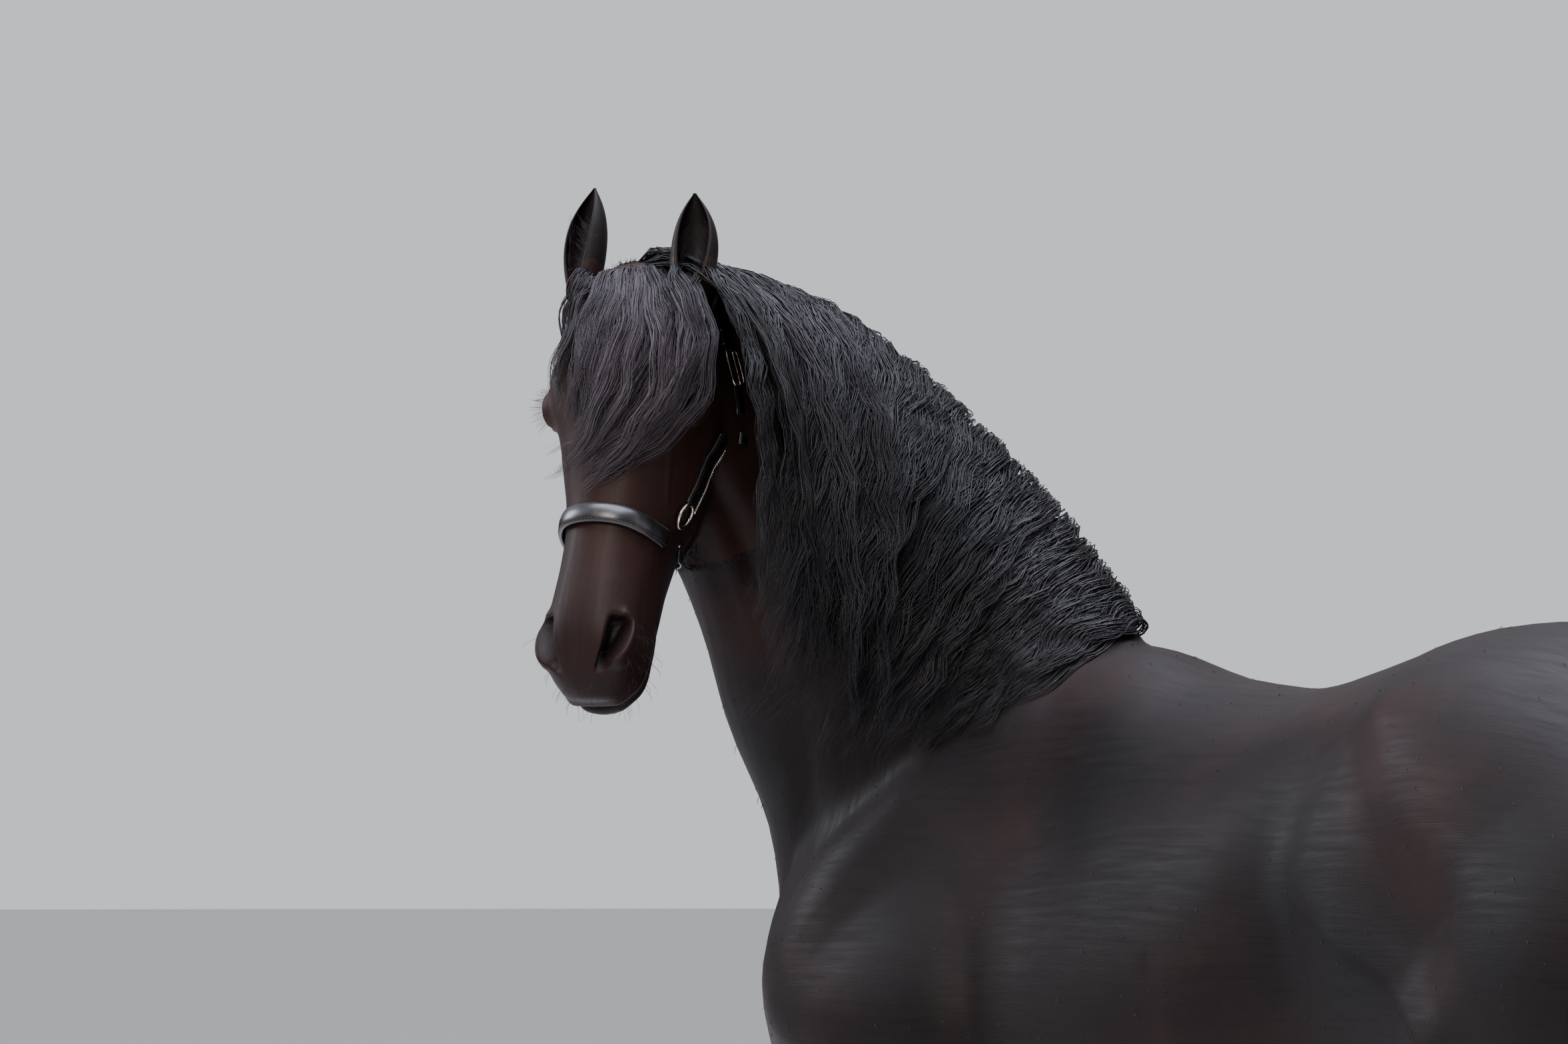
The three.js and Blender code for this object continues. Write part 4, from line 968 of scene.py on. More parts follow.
def strands(
    path, outs, count, width, thick, length_spread, wave, rng, points=16, clump=0.3, phase=0.0,
    wavelength=0.075
):
    """Many strands along one guide, close at the root, full below it and drawn together at the tip."""
    way = unit(np.gradient(path, axis=0))
    across = unit(np.cross(way, outs))
    outs = unit(np.cross(across, way))
    run = np.concatenate([[0], np.cumsum(np.linalg.norm(np.diff(path, axis=0), axis=1))])
    share = np.linspace(0, 1, points)
    reach = 1 - length_spread * rng.random(count) ** 1.6
    at = share[None, :] * reach[:, None] * run[-1]
    line, side, out = (
        np.stack([np.interp(at, run, field[:, k]) for k in range(3)], -1)
        for field in (path, across, outs)
    )
    a = rng.uniform(-1, 1, count)
    n = rng.random(count) * (1 - 0.5 * np.abs(a))
    full = np.interp(share, (0, 0.06, 0.35, 0.7, 1), (0.55, 0.75, 1.0, 0.86, clump))
    thin = np.interp(share, (0, 0.06, 0.35, 1), (0.4, 0.8, 1.0, clump))
    wander = rng.normal(0, 1, (count, 3))
    s = share[None, :]
    drift = (wander[:, :1] * s + wander[:, 1:2] * s ** 2) * width * 0.10
    deep = at / wavelength * 2 * np.pi + phase + 0.35 * wander[:, 2:3]
    ramp = np.clip(s * 3, 0, 1)
    sway = np.sin(deep) * wave * ramp + np.sin(deep * 0.47 + phase * 1.7) * wave * 0.8 * ramp
    rise = np.cos(deep) * wave * 0.45 * ramp
    sideways = a[:, None] * width / 2 * full + drift + sway
    upward = n[:, None] * thick * thin + np.maximum(rise, -0.3 * thick)
    return line + side * sideways[..., None] + out * upward[..., None]


def girths(count, points, girth, rng):
    """Thickness of strands: thin at the root, fullest early and pointed at the tip."""
    share = np.linspace(0, 1, points)
    taper = np.interp(share, (0, 0.05, 0.3, 0.75, 1), (0.6, 0.9, 1.0, 0.7, 0.12))
    return girth * (0.7 + 0.6 * rng.random((count, 1))) * taper[None, :]


def stored(mesh, name, kind, values):
    """Writes one value or vector for each vertex of a mesh."""
    layer = mesh.attributes.new(name, kind, "POINT")
    label = "value" if kind == "FLOAT" else "vector"
    layer.data.foreach_set(label, np.ascontiguousarray(values, np.float32).ravel())


def held_out(tree, lines, gap, first=2):
    """Strand points that sink into the skin are lifted back out of it."""
    flat = lines.reshape(-1, 3)
    per = lines.shape[1]
    for i, place in enumerate(flat):
        if i % per < first:
            continue
        touch, face, _, _ = tree.find_nearest(Vector(place), 0.03)
        if touch is None:
            continue
        high = (place[0] - touch[0]) * face[0]
        high = high + (place[1] - touch[1]) * face[1]
        high = high + (place[2] - touch[2]) * face[2]
        if high < gap:
            flat[i] = (touch[0] + face[0] * gap, touch[1] + face[1] * gap, touch[2] + face[2] * gap)
    return flat.reshape(lines.shape)


def socket_id(tree, name):
    """The identifier of a tree's input, given its name."""
    for item in tree.interface.items_tree:
        if item.item_type == "SOCKET" and item.in_out == "INPUT" and item.name == name:
            return item.identifier
    raise RuntimeError(f"the tree has no input named {name}")


def new_tree(name, inputs):
    """A geometry node tree with named inputs, and its ends."""
    tree = bpy.data.node_groups.new(name, "GeometryNodeTree")
    tree.interface.new_socket("Geometry", in_out="INPUT", socket_type="NodeSocketGeometry")
    tree.interface.new_socket("Geometry", in_out="OUTPUT", socket_type="NodeSocketGeometry")
    for label, kind, value in inputs:
        item = tree.interface.new_socket(label, in_out="INPUT", socket_type=kind)
        if value is not None:
            item.default_value = value
    start = add_node(tree, "NodeGroupInput")
    end = add_node(tree, "NodeGroupOutput")
    return tree, start.outputs, end.inputs


def finish_tree(tree, geometry, finish, end):
    """Realizes the instances, sets the finish and closes the tree."""
    real = add_node(tree, "GeometryNodeRealizeInstances", {"Geometry": geometry})
    soft = add_node(tree, "GeometryNodeSetShadeSmooth", {"Geometry": real.outputs["Geometry"]})
    dressed = add_node(
        tree, "GeometryNodeSetMaterial", {"Geometry": soft.outputs["Geometry"], "Material": finish}
    )
    tree.links.new(dressed.outputs["Geometry"], end["Geometry"])


def strand_tree():
    """Gives hair lines their girth and unwraps each strand as a small patch at its root's place."""
    name = "hair strands"
    if name in bpy.data.node_groups:
        return bpy.data.node_groups[name]
    tree, start, end = new_tree(name, (
        ("Sides", "NodeSocketInt", 3), ("Patch", "NodeSocketFloat", 0.003), (
            "Finish", "NodeSocketMaterial", None
        ),
    ))
    line = add_node(tree, "GeometryNodeMeshToCurve", {"Mesh": start["Geometry"]})
    girth = add_node(tree, "GeometryNodeInputNamedAttribute", {"Name": "girth"}, data_type="FLOAT")
    thick = add_node(
        tree, "GeometryNodeSetCurveRadius",
        {"Curve": line.outputs["Curve"], "Radius": girth.outputs["Attribute"]}
    )
    run = add_node(tree, "GeometryNodeSplineParameter")
    kept = add_node(tree, "GeometryNodeStoreNamedAttribute", {
        "Geometry": thick.outputs["Curve"], "Name": "run", "Value": run.outputs["Factor"],
    }, data_type="FLOAT", domain="POINT")
    profile = add_node(
        tree, "GeometryNodeCurvePrimitiveCircle", {"Resolution": start["Sides"], "Radius": 1.0}
    )
    round_run = add_node(tree, "GeometryNodeSplineParameter")
    round_kept = add_node(tree, "GeometryNodeStoreNamedAttribute", {
        "Geometry": profile.outputs["Curve"], "Name": "round", "Value": round_run.outputs["Factor"],
    }, data_type="FLOAT", domain="POINT")
    sweep = {
        "Curve": kept.outputs["Geometry"], "Profile Curve": round_kept.outputs["Geometry"],
        "Fill Caps": True
    }
    tube = add_node(tree, "GeometryNodeCurveToMesh", sweep)
    if "Scale" in tube.inputs:
        tree.links.new(girth.outputs["Attribute"], tube.inputs["Scale"])
    root = add_node(tree, "GeometryNodeInputNamedAttribute", {"Name": "root"}, data_type="FLOAT_VECTOR")
    down_run = add_node(tree, "GeometryNodeInputNamedAttribute", {"Name": "run"}, data_type="FLOAT")
    across_run = add_node(tree, "GeometryNodeInputNamedAttribute", {"Name": "round"}, data_type="FLOAT")
    patch = add_node(
        tree, "ShaderNodeCombineXYZ",
        {"X": down_run.outputs["Attribute"], "Y": across_run.outputs["Attribute"]}
    )
    small = add_node(
        tree, "ShaderNodeVectorMath", {0: patch.outputs["Vector"], "Scale": start["Patch"]},
        operation="SCALE"
    )
    spot = add_node(
        tree, "ShaderNodeVectorMath", {0: root.outputs["Attribute"], 1: small.outputs["Vector"]},
        operation="ADD"
    )
    unwrapped = add_node(tree, "GeometryNodeStoreNamedAttribute", {
        "Geometry": tube.outputs["Mesh"], "Name": "OFBake", "Value": spot.outputs["Vector"],
    }, data_type="FLOAT2", domain="CORNER")
    finish_tree(tree, unwrapped.outputs["Geometry"], start["Finish"], end)
    return tree


def hair_piece(name, lines, girth, roots, tones, material, sides=3):
    """A piece of hair from lines of equally many points, with girths, roots on the chart and tones."""
    count, per, _ = lines.shape
    mesh = bpy.data.meshes.new(name)
    mesh.vertices.add(count * per)
    mesh.vertices.foreach_set("co", np.ascontiguousarray(lines, np.float32).ravel())
    first = (np.arange(count) * per)[:, None] + np.arange(per - 1)[None, :]
    pairs = np.stack([first, first + 1], -1).reshape(-1)
    mesh.edges.add(count * (per - 1))
    mesh.edges.foreach_set("vertices", pairs.astype(np.int32))
    spots = np.zeros((count, per, 3))
    spots[:, :, :2] = roots[:, None, :]
    stored(mesh, "girth", "FLOAT", girth)
    stored(mesh, "root", "FLOAT_VECTOR", spots)
    shade = np.repeat(tones[:, None], per, 1)
    stored(mesh, "tone", "FLOAT", shade)
    mesh.update()
    made = bpy.data.objects.new(name, mesh)
    bpy.context.scene.collection.objects.link(made)
    tree = strand_tree()
    layer = made.modifiers.new("strands", "NODES")
    layer.node_group = tree
    layer[socket_id(tree, "Sides")] = sides
    layer[socket_id(tree, "Finish")] = material
    frozen(made)
    for spare in ("girth", "root", "run", "round"):
        if spare in made.data.attributes:
            made.data.attributes.remove(made.data.attributes[spare])
    made.data.uv_layers.active = made.data.uv_layers["OFBake"]
    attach(made, "root")
    return made


def in_pieces(name, lines, girth, roots, tones, material, most=185000):
    """Hair split into pieces that each stay under the most triangles."""
    each = (lines.shape[1] - 1) * 6 + 2
    parts = int(np.ceil(len(lines) * each / most))
    made = []
    for k in range(parts):
        pick = slice(k, None, parts)
        label = name if parts == 1 else f"{name}_{k + 1}"
        made.append(hair_piece(label, lines[pick], girth[pick], roots[pick], tones[pick], material))
    return made


def dressed(made, material, slot, *nodes):
    """Gives a piece its finish, hangs it on the root and hides the nodes that it stands for."""
    made.data.materials.append(material)
    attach(made, "root")
    if nodes:
        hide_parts(*nodes)
    return made


# Operators

def settings():
    """The sizes and colours of the sidebar."""
    return bpy.context.scene.horse_sizes, bpy.context.scene.horse_colours


class HorseSizes(bpy.types.PropertyGroup):
    """Sizes that a user would change."""
    coat_depth: FloatProperty(
        name="Coat depth", description="How far the skin lies inside the solids", default=0.0012, min=0,
        unit="LENGTH"
    )
    grain: FloatProperty(
        name="Modelling grain", description="Side of the small cubes that join the flesh", default=0.005,
        min=0.003, unit="LENGTH"
    )
    skin_faces: IntProperty(
        name="Skin faces", description="Triangles that the finished skin keeps", default=190000, min=20000
    )
    mane_length: FloatProperty(
        name="Mane length", description="Longest locks of the mane", default=0.68, min=0.1, unit="LENGTH"
    )
    mane_strands: IntProperty(
        name="Mane strands", description="Strands in one lock of the mane", default=32, min=4
    )
    forelock_length: FloatProperty(
        name="Forelock length", description="Longest locks of the forelock", default=0.31, min=0.05,
        unit="LENGTH"
    )
    tail_strands: IntProperty(
        name="Tail strands", description="Strands in one lock of the tail", default=40, min=4
    )
    feather_length: FloatProperty(
        name="Feather length", description="Hair that falls from the fetlocks", default=0.19, min=0.02,
        unit="LENGTH"
    )
    strap_width: FloatProperty(
        name="Strap width", description="Width of the headcollar's straps", default=0.026, min=0.01,
        unit="LENGTH"
    )


class HorseColours(bpy.types.PropertyGroup):
    """Colours that a user would change."""
    mane_dark: StringProperty(
        name="Mane, dark", description="Darkest strands of mane and tail", default="#0b0a0b"
    )
    mane_light: StringProperty(
        name="Mane, light", description="Lightest strands of mane and tail", default="#29262b"
    )
    forelock_dark: StringProperty(
        name="Forelock, dark", description="Darkest strands of the forelock", default="#0e0c0f"
    )
    forelock_light: StringProperty(
        name="Forelock, light", description="Sun-bleached strands of the forelock", default="#473e44"
    )
    floor: FloatVectorProperty(
        name="Floor", description="Colour of the studio floor", subtype="COLOR",
        default=(0.66, 0.66, 0.66), min=0, max=1
    )


class HORSE_OT_stage(bpy.types.Operator):
    """Camera, lights and floor"""
    bl_idname = "horse.stage"
    bl_label = "Studio"

    def execute(self, context):
        _, colours = settings()
        data = bpy.data.cameras.new("camera")
        data.lens, data.sensor_width = 135, 36
        data.clip_start, data.clip_end = 0.1, 200
        camera = bpy.data.objects.new("camera", data)
        context.scene.collection.objects.link(camera)
        camera.location = Vector((-5.4134, 5.1273, 1.37)) + Vector(SHIFT)
        yaw, pitch = math.radians(-38), math.radians(2.957)
        way = Vector((math.cos(yaw) * math.cos(pitch), math.sin(yaw) * math.cos(pitch), math.sin(pitch)))
        camera.rotation_euler = way.to_track_quat("-Z", "Y").to_euler()
        context.scene.camera = camera
        turn = 2 * np.pi * np.arange(256) / 256
        rim = np.stack([90 * np.cos(turn), 90 * np.sin(turn), 0 * turn], 1)
        floor = new_object("studio_floor", rim, [tuple(range(256))], smooth=False)
        # Matt painted concrete: a faint cloud of tone, no shine
        made, tree, shader = new_material(
            "painted_studio_floor", {"Roughness": 0.8, "Specular IOR Level": 0.2}
        )
        places = add_node(tree, "ShaderNodeTexCoord").outputs["Object"]
        mottle = add_node(tree, "ShaderNodeTexNoise", {"Vector": places, "Scale": 0.8, "Detail": 3.0})
        tint = [*colours.floor, 1]
        shade = add_node(
            tree, "ShaderNodeMix",
            {0: mottle.outputs["Fac"], 6: tint, 7: [c * 0.96 for c in colours.floor] + [1]},
            data_type="RGBA"
        )
        tree.links.new(shade.outputs[2], shader.inputs["Base Color"])
        floor.data.materials.append(made)
        # An open sky: bright overhead, dim near the horizon, and a plain pale ground behind the horse
        world = bpy.data.worlds.new("studio")
        context.scene.world = world
        world.use_nodes = True
        sky = world.node_tree.nodes["Background"]
        sky.inputs["Color"].default_value = linear("#e8eaf0")
        way = add_node(world.node_tree, "ShaderNodeTexCoord").outputs["Generated"]
        height = add_node(world.node_tree, "ShaderNodeSeparateXYZ", {"Vector": way}).outputs["Z"]
        dome = add_node(world.node_tree, "ShaderNodeMapRange", {
            "Value": height, "From Min": 0.02, "From Max": 0.75, "To Min": 0.03, "To Max": 1.10,
        }, interpolation_type="SMOOTHSTEP")
        seen = add_node(world.node_tree, "ShaderNodeLightPath").outputs["Is Camera Ray"]
        strength = add_node(
            world.node_tree, "ShaderNodeMix", {0: seen, 2: dome.outputs["Result"], 3: 0.95},
            data_type="FLOAT"
        )
        world.node_tree.links.new(strength.outputs[0], sky.inputs["Strength"])
        for name, place, target, size, power, colour in (
            ("overhead", (0.0, 0.4, 6.4), (0.0, 0, 1.4), 5.0, 820, "#e4e9fa"),
            ("key", (-2.6, 6.2, 5.2), (0.4, 0.2, 1.6), 2.6, 400, "#fff3ea"),
            ("rim", (5.5, 3.4, 4.2), (0.6, 0.1, 1.7), 2.2, 230, "#eef3ff"),
            ("fill", (-6.0, -3.0, 3.2), (0.0, 0, 1.2), 3.0, 60, "#eef2fb"),
        ):
            light = bpy.data.lights.new(name, "AREA")
            light.shape, light.size, light.energy = "SQUARE", size, power
            light.color = linear(colour)[:3]
            lamp = bpy.data.objects.new(name, light)
            context.scene.collection.objects.link(lamp)
            lamp.location = place
            lamp.rotation_euler = (Vector(target) - Vector(place)).to_track_quat("-Z", "Y").to_euler()
        return {"FINISHED"}


class HORSE_OT_skin(bpy.types.Operator):
    """One skin over trunk, neck, head and legs, with its muscles, bones, lids, nostrils and lips"""
    bl_idname = "horse.skin"
    bl_label = "Skin"

    def execute(self, context):
        sizes, _ = settings()
        inset = -1000 * sizes.coat_depth
        bodies = [trunk_body(inset), neck_body(inset), skull_body(inset), dock_body()]
        bodies += [leg_body(table, hand, inset) for _, table, hand in LEGS]
        for _, hand in HANDS:
            bodies.append(head_ball(
                (EYE["down"], EYE["depth"] + 2, hand * (EYE["out"] - 4)), (36, 30, 30)
            ))
            bodies.append(head_ball((510, -36, hand * 52), (42, 25, 21)))
            bodies.append(head_ball(
                (EAR["down"] + hand * EAR["drop"] - 2, -26, -hand * 79), (34, 30, 27)
            ))
        points, faces = joined(bodies)
        skin = new_object("skin", points, faces)
        cubes = skin.modifiers.new("joined flesh", "REMESH")
        cubes.mode, cubes.voxel_size, cubes.use_smooth_shade = "VOXEL", sizes.grain, True
        frozen(skin)
        # The head is given twice as fine a surface before it is modelled
        fine = bmesh.new()
        fine.from_mesh(skin.data)
        fine.verts.ensure_lookup_table()
        at = np.array([v.co for v in fine.verts])
        head = is_on_head(head_places(at), 10)
        chosen = [e for e in fine.edges if head[e.verts[0].index] and head[e.verts[1].index]]
        bmesh.ops.subdivide_edges(fine, edges=chosen, cuts=1, use_grid_fill=True)
        fine.to_mesh(skin.data)
        fine.free()
        mesh = skin.data
        points, edges = points_of(mesh), edges_of(mesh)
        head = is_on_head(head_places(points), 10)
        joint = np.clip((points[:, 2] - 0.80) / 0.10, 0, 1)
        points = relaxed(points, edges, np.where(head, 0.8, 1.0), 5)
        points = relaxed(points, edges, np.where(head, 0.0, joint), 70)
        points = relaxed(points, edges, np.where(head, 1.0, 0.4), 8)
        set_points(mesh, points)
        points = sculpt_body(points, normals_of(mesh))
        places = head_places(points)
        points = sculpt_head(points, normals_of(mesh), places)
        points = relaxed(points, edges, np.full(len(points), 0.5), 2)
        set_points(mesh, points)
        points = shaped_mouth(points, normals_of(mesh), head_places(points))
        # The hollow mask marks the nostril openings, where the coat's colour is darkened as painted shade
        hollow = nostril_share(head_places(points))[0] * is_on_head(head_places(points))
        stored(mesh, "hollow", "FLOAT", hollow)
        points = shaped_nostrils(points, head_places(points))
        points = shaped_lids(points, head_places(points))
        set_points(mesh, points)
        # Fewer faces, most of them kept on the head
        head = is_on_head(head_places(points), 10)
        group = skin.vertex_groups.new(name="plain")
        group.add([int(i) for i in np.nonzero(~head)[0]], 1.0, "REPLACE")
        triangles = sum(len(p.vertices) - 2 for p in mesh.polygons)
        thin = skin.modifiers.new("fewer faces", "DECIMATE")
        thin.ratio = min(1.0, sizes.skin_faces / triangles)
        thin.vertex_group, thin.vertex_group_factor = "plain", 1.0
        frozen(skin)
        skin.vertex_groups.clear()
        mesh = skin.data
        mesh.polygons.foreach_set("use_smooth", [True] * len(mesh.polygons))
        lay, chart = unwrap(points_of(mesh))
        stored(mesh, "lay", "FLOAT_VECTOR", lay)
        spots = np.concatenate([chart, np.zeros((len(chart), 1))], 1)
        stored(mesh, "chart", "FLOAT_VECTOR", spots)
        mesh.materials.clear()
        mesh.materials.append(bpy.data.materials.get("short_black_coat") or coat_material())
        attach(skin, "root")
        nodes = ["torso", "neck_lower", "neck_upper", "head"]
        nodes += [
            f"{part}_{side}" for side,
            _ in HANDS for part in ("forearm", "fore_cannon", "gaskin", "hind_cannon")
        ]
        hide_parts(*nodes)
        return {"FINISHED"}


def ear_frame(hand):
    """Base of one ear in millimetres, then up it, out of its opening, across it and away from the head."""
    outward = RIGHT * -hand
    tilt, toe = math.radians(EAR["lean"]), math.radians(EAR["toe"])
    axis = unit(-DOWN * math.cos(tilt) + outward * math.sin(tilt) + OUT * 0.12)
    front = OUT * math.cos(toe) + outward * math.sin(toe)
    front = unit(front - axis * (front @ axis))
    base = POLL + DOWN * (EAR["down"] + hand * EAR["drop"]) + OUT * EAR["depth"] + outward * EAR["out"]
    return base, axis, front, np.cross(axis, front), outward


class HORSE_OT_ears(bpy.types.Operator):
    """Cupped ears with a folded rim"""
    bl_idname = "horse.ears"
    bl_label = "Ears"

    def execute(self, context):
        for side, hand in HANDS:
            base, axis, front, across, outward = ear_frame(hand)
            u = np.linspace(-0.12, 1, 46)
            v = np.clip(u, 0, 1)
            swell_by = 0.62 + 0.85 * np.sin(np.pi * np.minimum(0.25 + v * 0.66, 1) ** 1.15) ** 1.1 - 0.42
            wide = np.maximum(EAR["radius"] * swell_by * (1 - v ** 9 * 0.9), 2.2)
            fold = np.radians(150 - 40 * v)
            wall = EAR["wall"] * (1 - 0.6 * v)
            bend = -14 * v ** 3
            centre = base + np.outer(EAR["length"] * u - 8, axis) + np.outer(bend, outward)
            arc = np.linspace(-1, 1, 36)
            outer, inner = [], []
            for i in range(len(u)):
                angle = arc * fold[i]
                for radius, keep in ((wide[i], outer), (max(wide[i] - wall[i], 0.8), inner)):
                    curl = radius * (1 - 0.10 * np.abs(arc) ** 4)
                    back = np.outer(curl * 0.86 * np.cos(angle), front)
                    keep.append(centre[i] - back + np.outer(curl * np.sin(angle), across))
            loops = np.concatenate([np.array(outer), np.array(inner)[:, ::-1]], 1)
            points, faces = loft(placed(loops))
            ear = new_object(f"ear_shell_{side}", points, faces, outward=True)
            lay, _ = unwrap(points_of(ear.data))
            run = (points_of(ear.data) - placed(base)) @ axis
            lay[:, 0] = -run
            stored(ear.data, "lay", "FLOAT_VECTOR", lay)
            dressed(ear, bpy.data.materials["short_black_coat"], "coat", f"ear_{side}")
        return {"FINISHED"}


class HORSE_OT_eyes(bpy.types.Operator):
    """Dark wet eyeballs with a raised cornea"""
    bl_idname = "horse.eyes"
    bl_label = "Eyes"

    def execute(self, context):
        made, tree, shader = new_material("wet_brown_eye", {
            "Roughness": 0.04, "IOR": 1.38, "Specular IOR Level": 0.6, "Coat Weight": 1.0,
            "Coat Roughness": 0.02, "Coat IOR": 1.38,
        })
        gaze = add_node(tree, "ShaderNodeAttribute", attribute_name="gaze").outputs["Vector"]
        stretch = add_node(tree, "ShaderNodeMapping", {"Vector": gaze, "Scale": (1.0, 1.35, 1.0)})
        away = add_node(tree, "ShaderNodeVectorMath", {0: stretch.outputs["Vector"]}, operation="LENGTH")
        # The gaze runs 1 for 19 mm, so the threads of the iris are about 2 mm
        threads = add_node(
            tree, "ShaderNodeTexNoise", {"Vector": gaze, "Scale": 9.0, "Detail": 5.0, "Roughness": 0.7}
        )
        uneven = add_node(
            tree, "ShaderNodeMath", {0: threads.outputs["Fac"], 1: 0.22}, operation="MULTIPLY"
        )
        rim = add_node(
            tree, "ShaderNodeMath", {0: away.outputs["Value"], 1: uneven.outputs["Value"]},
            operation="ADD"
        )
        colour = add_node(tree, "ShaderNodeValToRGB", {"Fac": rim.outputs["Value"]}, stops=(
            (0.30, "#050406"), (0.42, "#1d0f08"), (0.66, "#2b170c"), (0.84, "#120b08"), (1.0, "#1a1413"),
        ))
        tree.links.new(colour.outputs["Color"], shader.inputs["Base Color"])
        for side, hand in HANDS:
            points, faces = ball(64, 40)
            forward = unit(RIGHT * -hand * 0.93 + OUT * 0.30 + DOWN * 0.02)
            along_lid = unit(DOWN - forward * (DOWN @ forward))
            up = np.cross(along_lid, forward)
            facing = points[:, 2]
            bulge = 1 + 0.045 * np.exp(-((1 - facing) / 0.16) ** 2)
            local = points * bulge[:, None] * (EYE["radius"] - 0.4) * 0.001
            centre = on_head(EYE["down"], EYE["depth"], -hand * EYE["out"])
            spots = centre + local[:, :1] * along_lid + local[:, 1:2] * up + local[:, 2:3] * forward
            eye = new_object(f"eyeball_{side}", spots, faces)
            disc = np.stack([points[:, 0], points[:, 1], np.where(facing > 0, 0, 1)], 1) * 1.25
            stored(eye.data, "gaze", "FLOAT_VECTOR", disc)
            dressed(eye, made, "eye", f"eye_{side}")
        return {"FINISHED"}


class HORSE_OT_hooves(bpy.types.Operator):
    """Hooves with growth rings, a rounded wall and bulbs at the heel"""
    bl_idname = "horse.hooves"
    bl_label = "Hooves"

    def execute(self, context):
        made, tree, shader = new_material("dark_hoof_horn", {"IOR": 1.54, "Specular IOR Level": 0.45})
        places = add_node(tree, "ShaderNodeTexCoord").outputs["Object"]
        # Growth rings about 6 mm apart give the wall its bands
        squash = add_node(tree, "ShaderNodeMapping", {"Vector": places, "Scale": (3.0, 3.0, 160.0)})
        growth = add_node(
            tree, "ShaderNodeTexNoise",
            {"Vector": squash.outputs["Vector"], "Scale": 1.0, "Detail": 3.0, "Distortion": 0.6}
        )
        # Horn tubes 2.4 mm across and 70 mm long give it a fine upright grain
        tubes = add_node(tree, "ShaderNodeMapping", {"Vector": places, "Scale": (420.0, 420.0, 14.0)})
        fibre = add_node(
            tree, "ShaderNodeTexNoise", {"Vector": tubes.outputs["Vector"], "Scale": 1.0, "Detail": 2.0}
        )
        colour = add_node(
            tree, "ShaderNodeValToRGB", {"Fac": growth.outputs["Fac"]},
            stops=((0.3, "#191615"), (0.55, "#2a2522"), (0.75, "#433a33"))
        ).outputs["Color"]
        tree.links.new(colour, shader.inputs["Base Color"])
        rough = add_node(
            tree, "ShaderNodeMapRange", {"Value": fibre.outputs["Fac"], "To Min": 0.34, "To Max": 0.58}
        )
        tree.links.new(rough.outputs["Result"], shader.inputs["Roughness"])
        both = add_node(
            tree, "ShaderNodeMath", {0: growth.outputs["Fac"], 1: fibre.outputs["Fac"]}, operation="ADD"
        )
        bump = add_node(
            tree, "ShaderNodeBump", {"Strength": 0.5, "Distance": 0.0012, "Height": both.outputs["Value"]}
        )
        tree.links.new(bump.outputs["Normal"], shader.inputs["Normal"])
        for name, table, hand in LEGS:
            ring = dict(zip(LEG_COLUMNS, table[-2][1:]))
            high = np.concatenate([
                [0.0, 1.2, 3.5], np.linspace(7, HOOF["height"] - 4, 38),
                [HOOF["height"] - 1.5, HOOF["height"]]
            ])
            share = np.interp(high, (0, 8, HOOF["height"]), (1, 1, 0))
            edge = np.interp(
                high, (0, 1.2, 3.5, 80, HOOF["height"] - 1.5, HOOF["height"]),
                (-2.4, -0.8, 0, 0, -1.5, -5)
            )
            rib = 0.35 * np.sin(high * 0.62) * np.interp(high, (4, 14, 76, 84), (0, 1, 1, 0))
            front = ring["front"] + HOOF["toe"] * share + edge + rib
            back = ring["back"] - HOOF["heel"] * share - edge - rib
            rise = (ring["outer"] - ring["inner"]) / 2 + HOOF["spread"] * share + edge + rib
            middle = hand * (ring["outer"] + ring["inner"]) / 2
            centre = np.stack([(front + back) / 2, np.full(len(high), middle), high], 1)
            loops = rings(centre, (1, 0, 0), (0, 1, 0), (front - back) / 2, rise, rise, 2.2, 2.2, 72)
            away = loops - centre[:, None, :]
            behind = np.clip((-away[..., 0] / ((front - back) / 2)[:, None] - 0.55) / 0.45, 0, 1)
            fading = np.interp(high, (0, 50, 80), (1, 0.8, 0.2))[:, None]
            cleft = np.exp(-((away[..., 1] / 9) ** 2)) * behind * fading
            loops[..., 0] += cleft * 12
            points, faces = loft(placed(turned(loops)))
            hoof = new_object(f"hoof_{name}", points, faces, outward=True)
            dressed(hoof, made, "hoof", name.replace("_", "_hoof_"))
        return {"FINISHED"}


def mane_flow(share):
    """How far forward the mane flows for each unit that it falls, most at the withers."""
    return float(np.interp(share, (0.15, 0.3, 0.5, 0.7, 0.85, 0.98), (0.66, 0.66, 0.56, 0.36, 0.19, 0.0)))


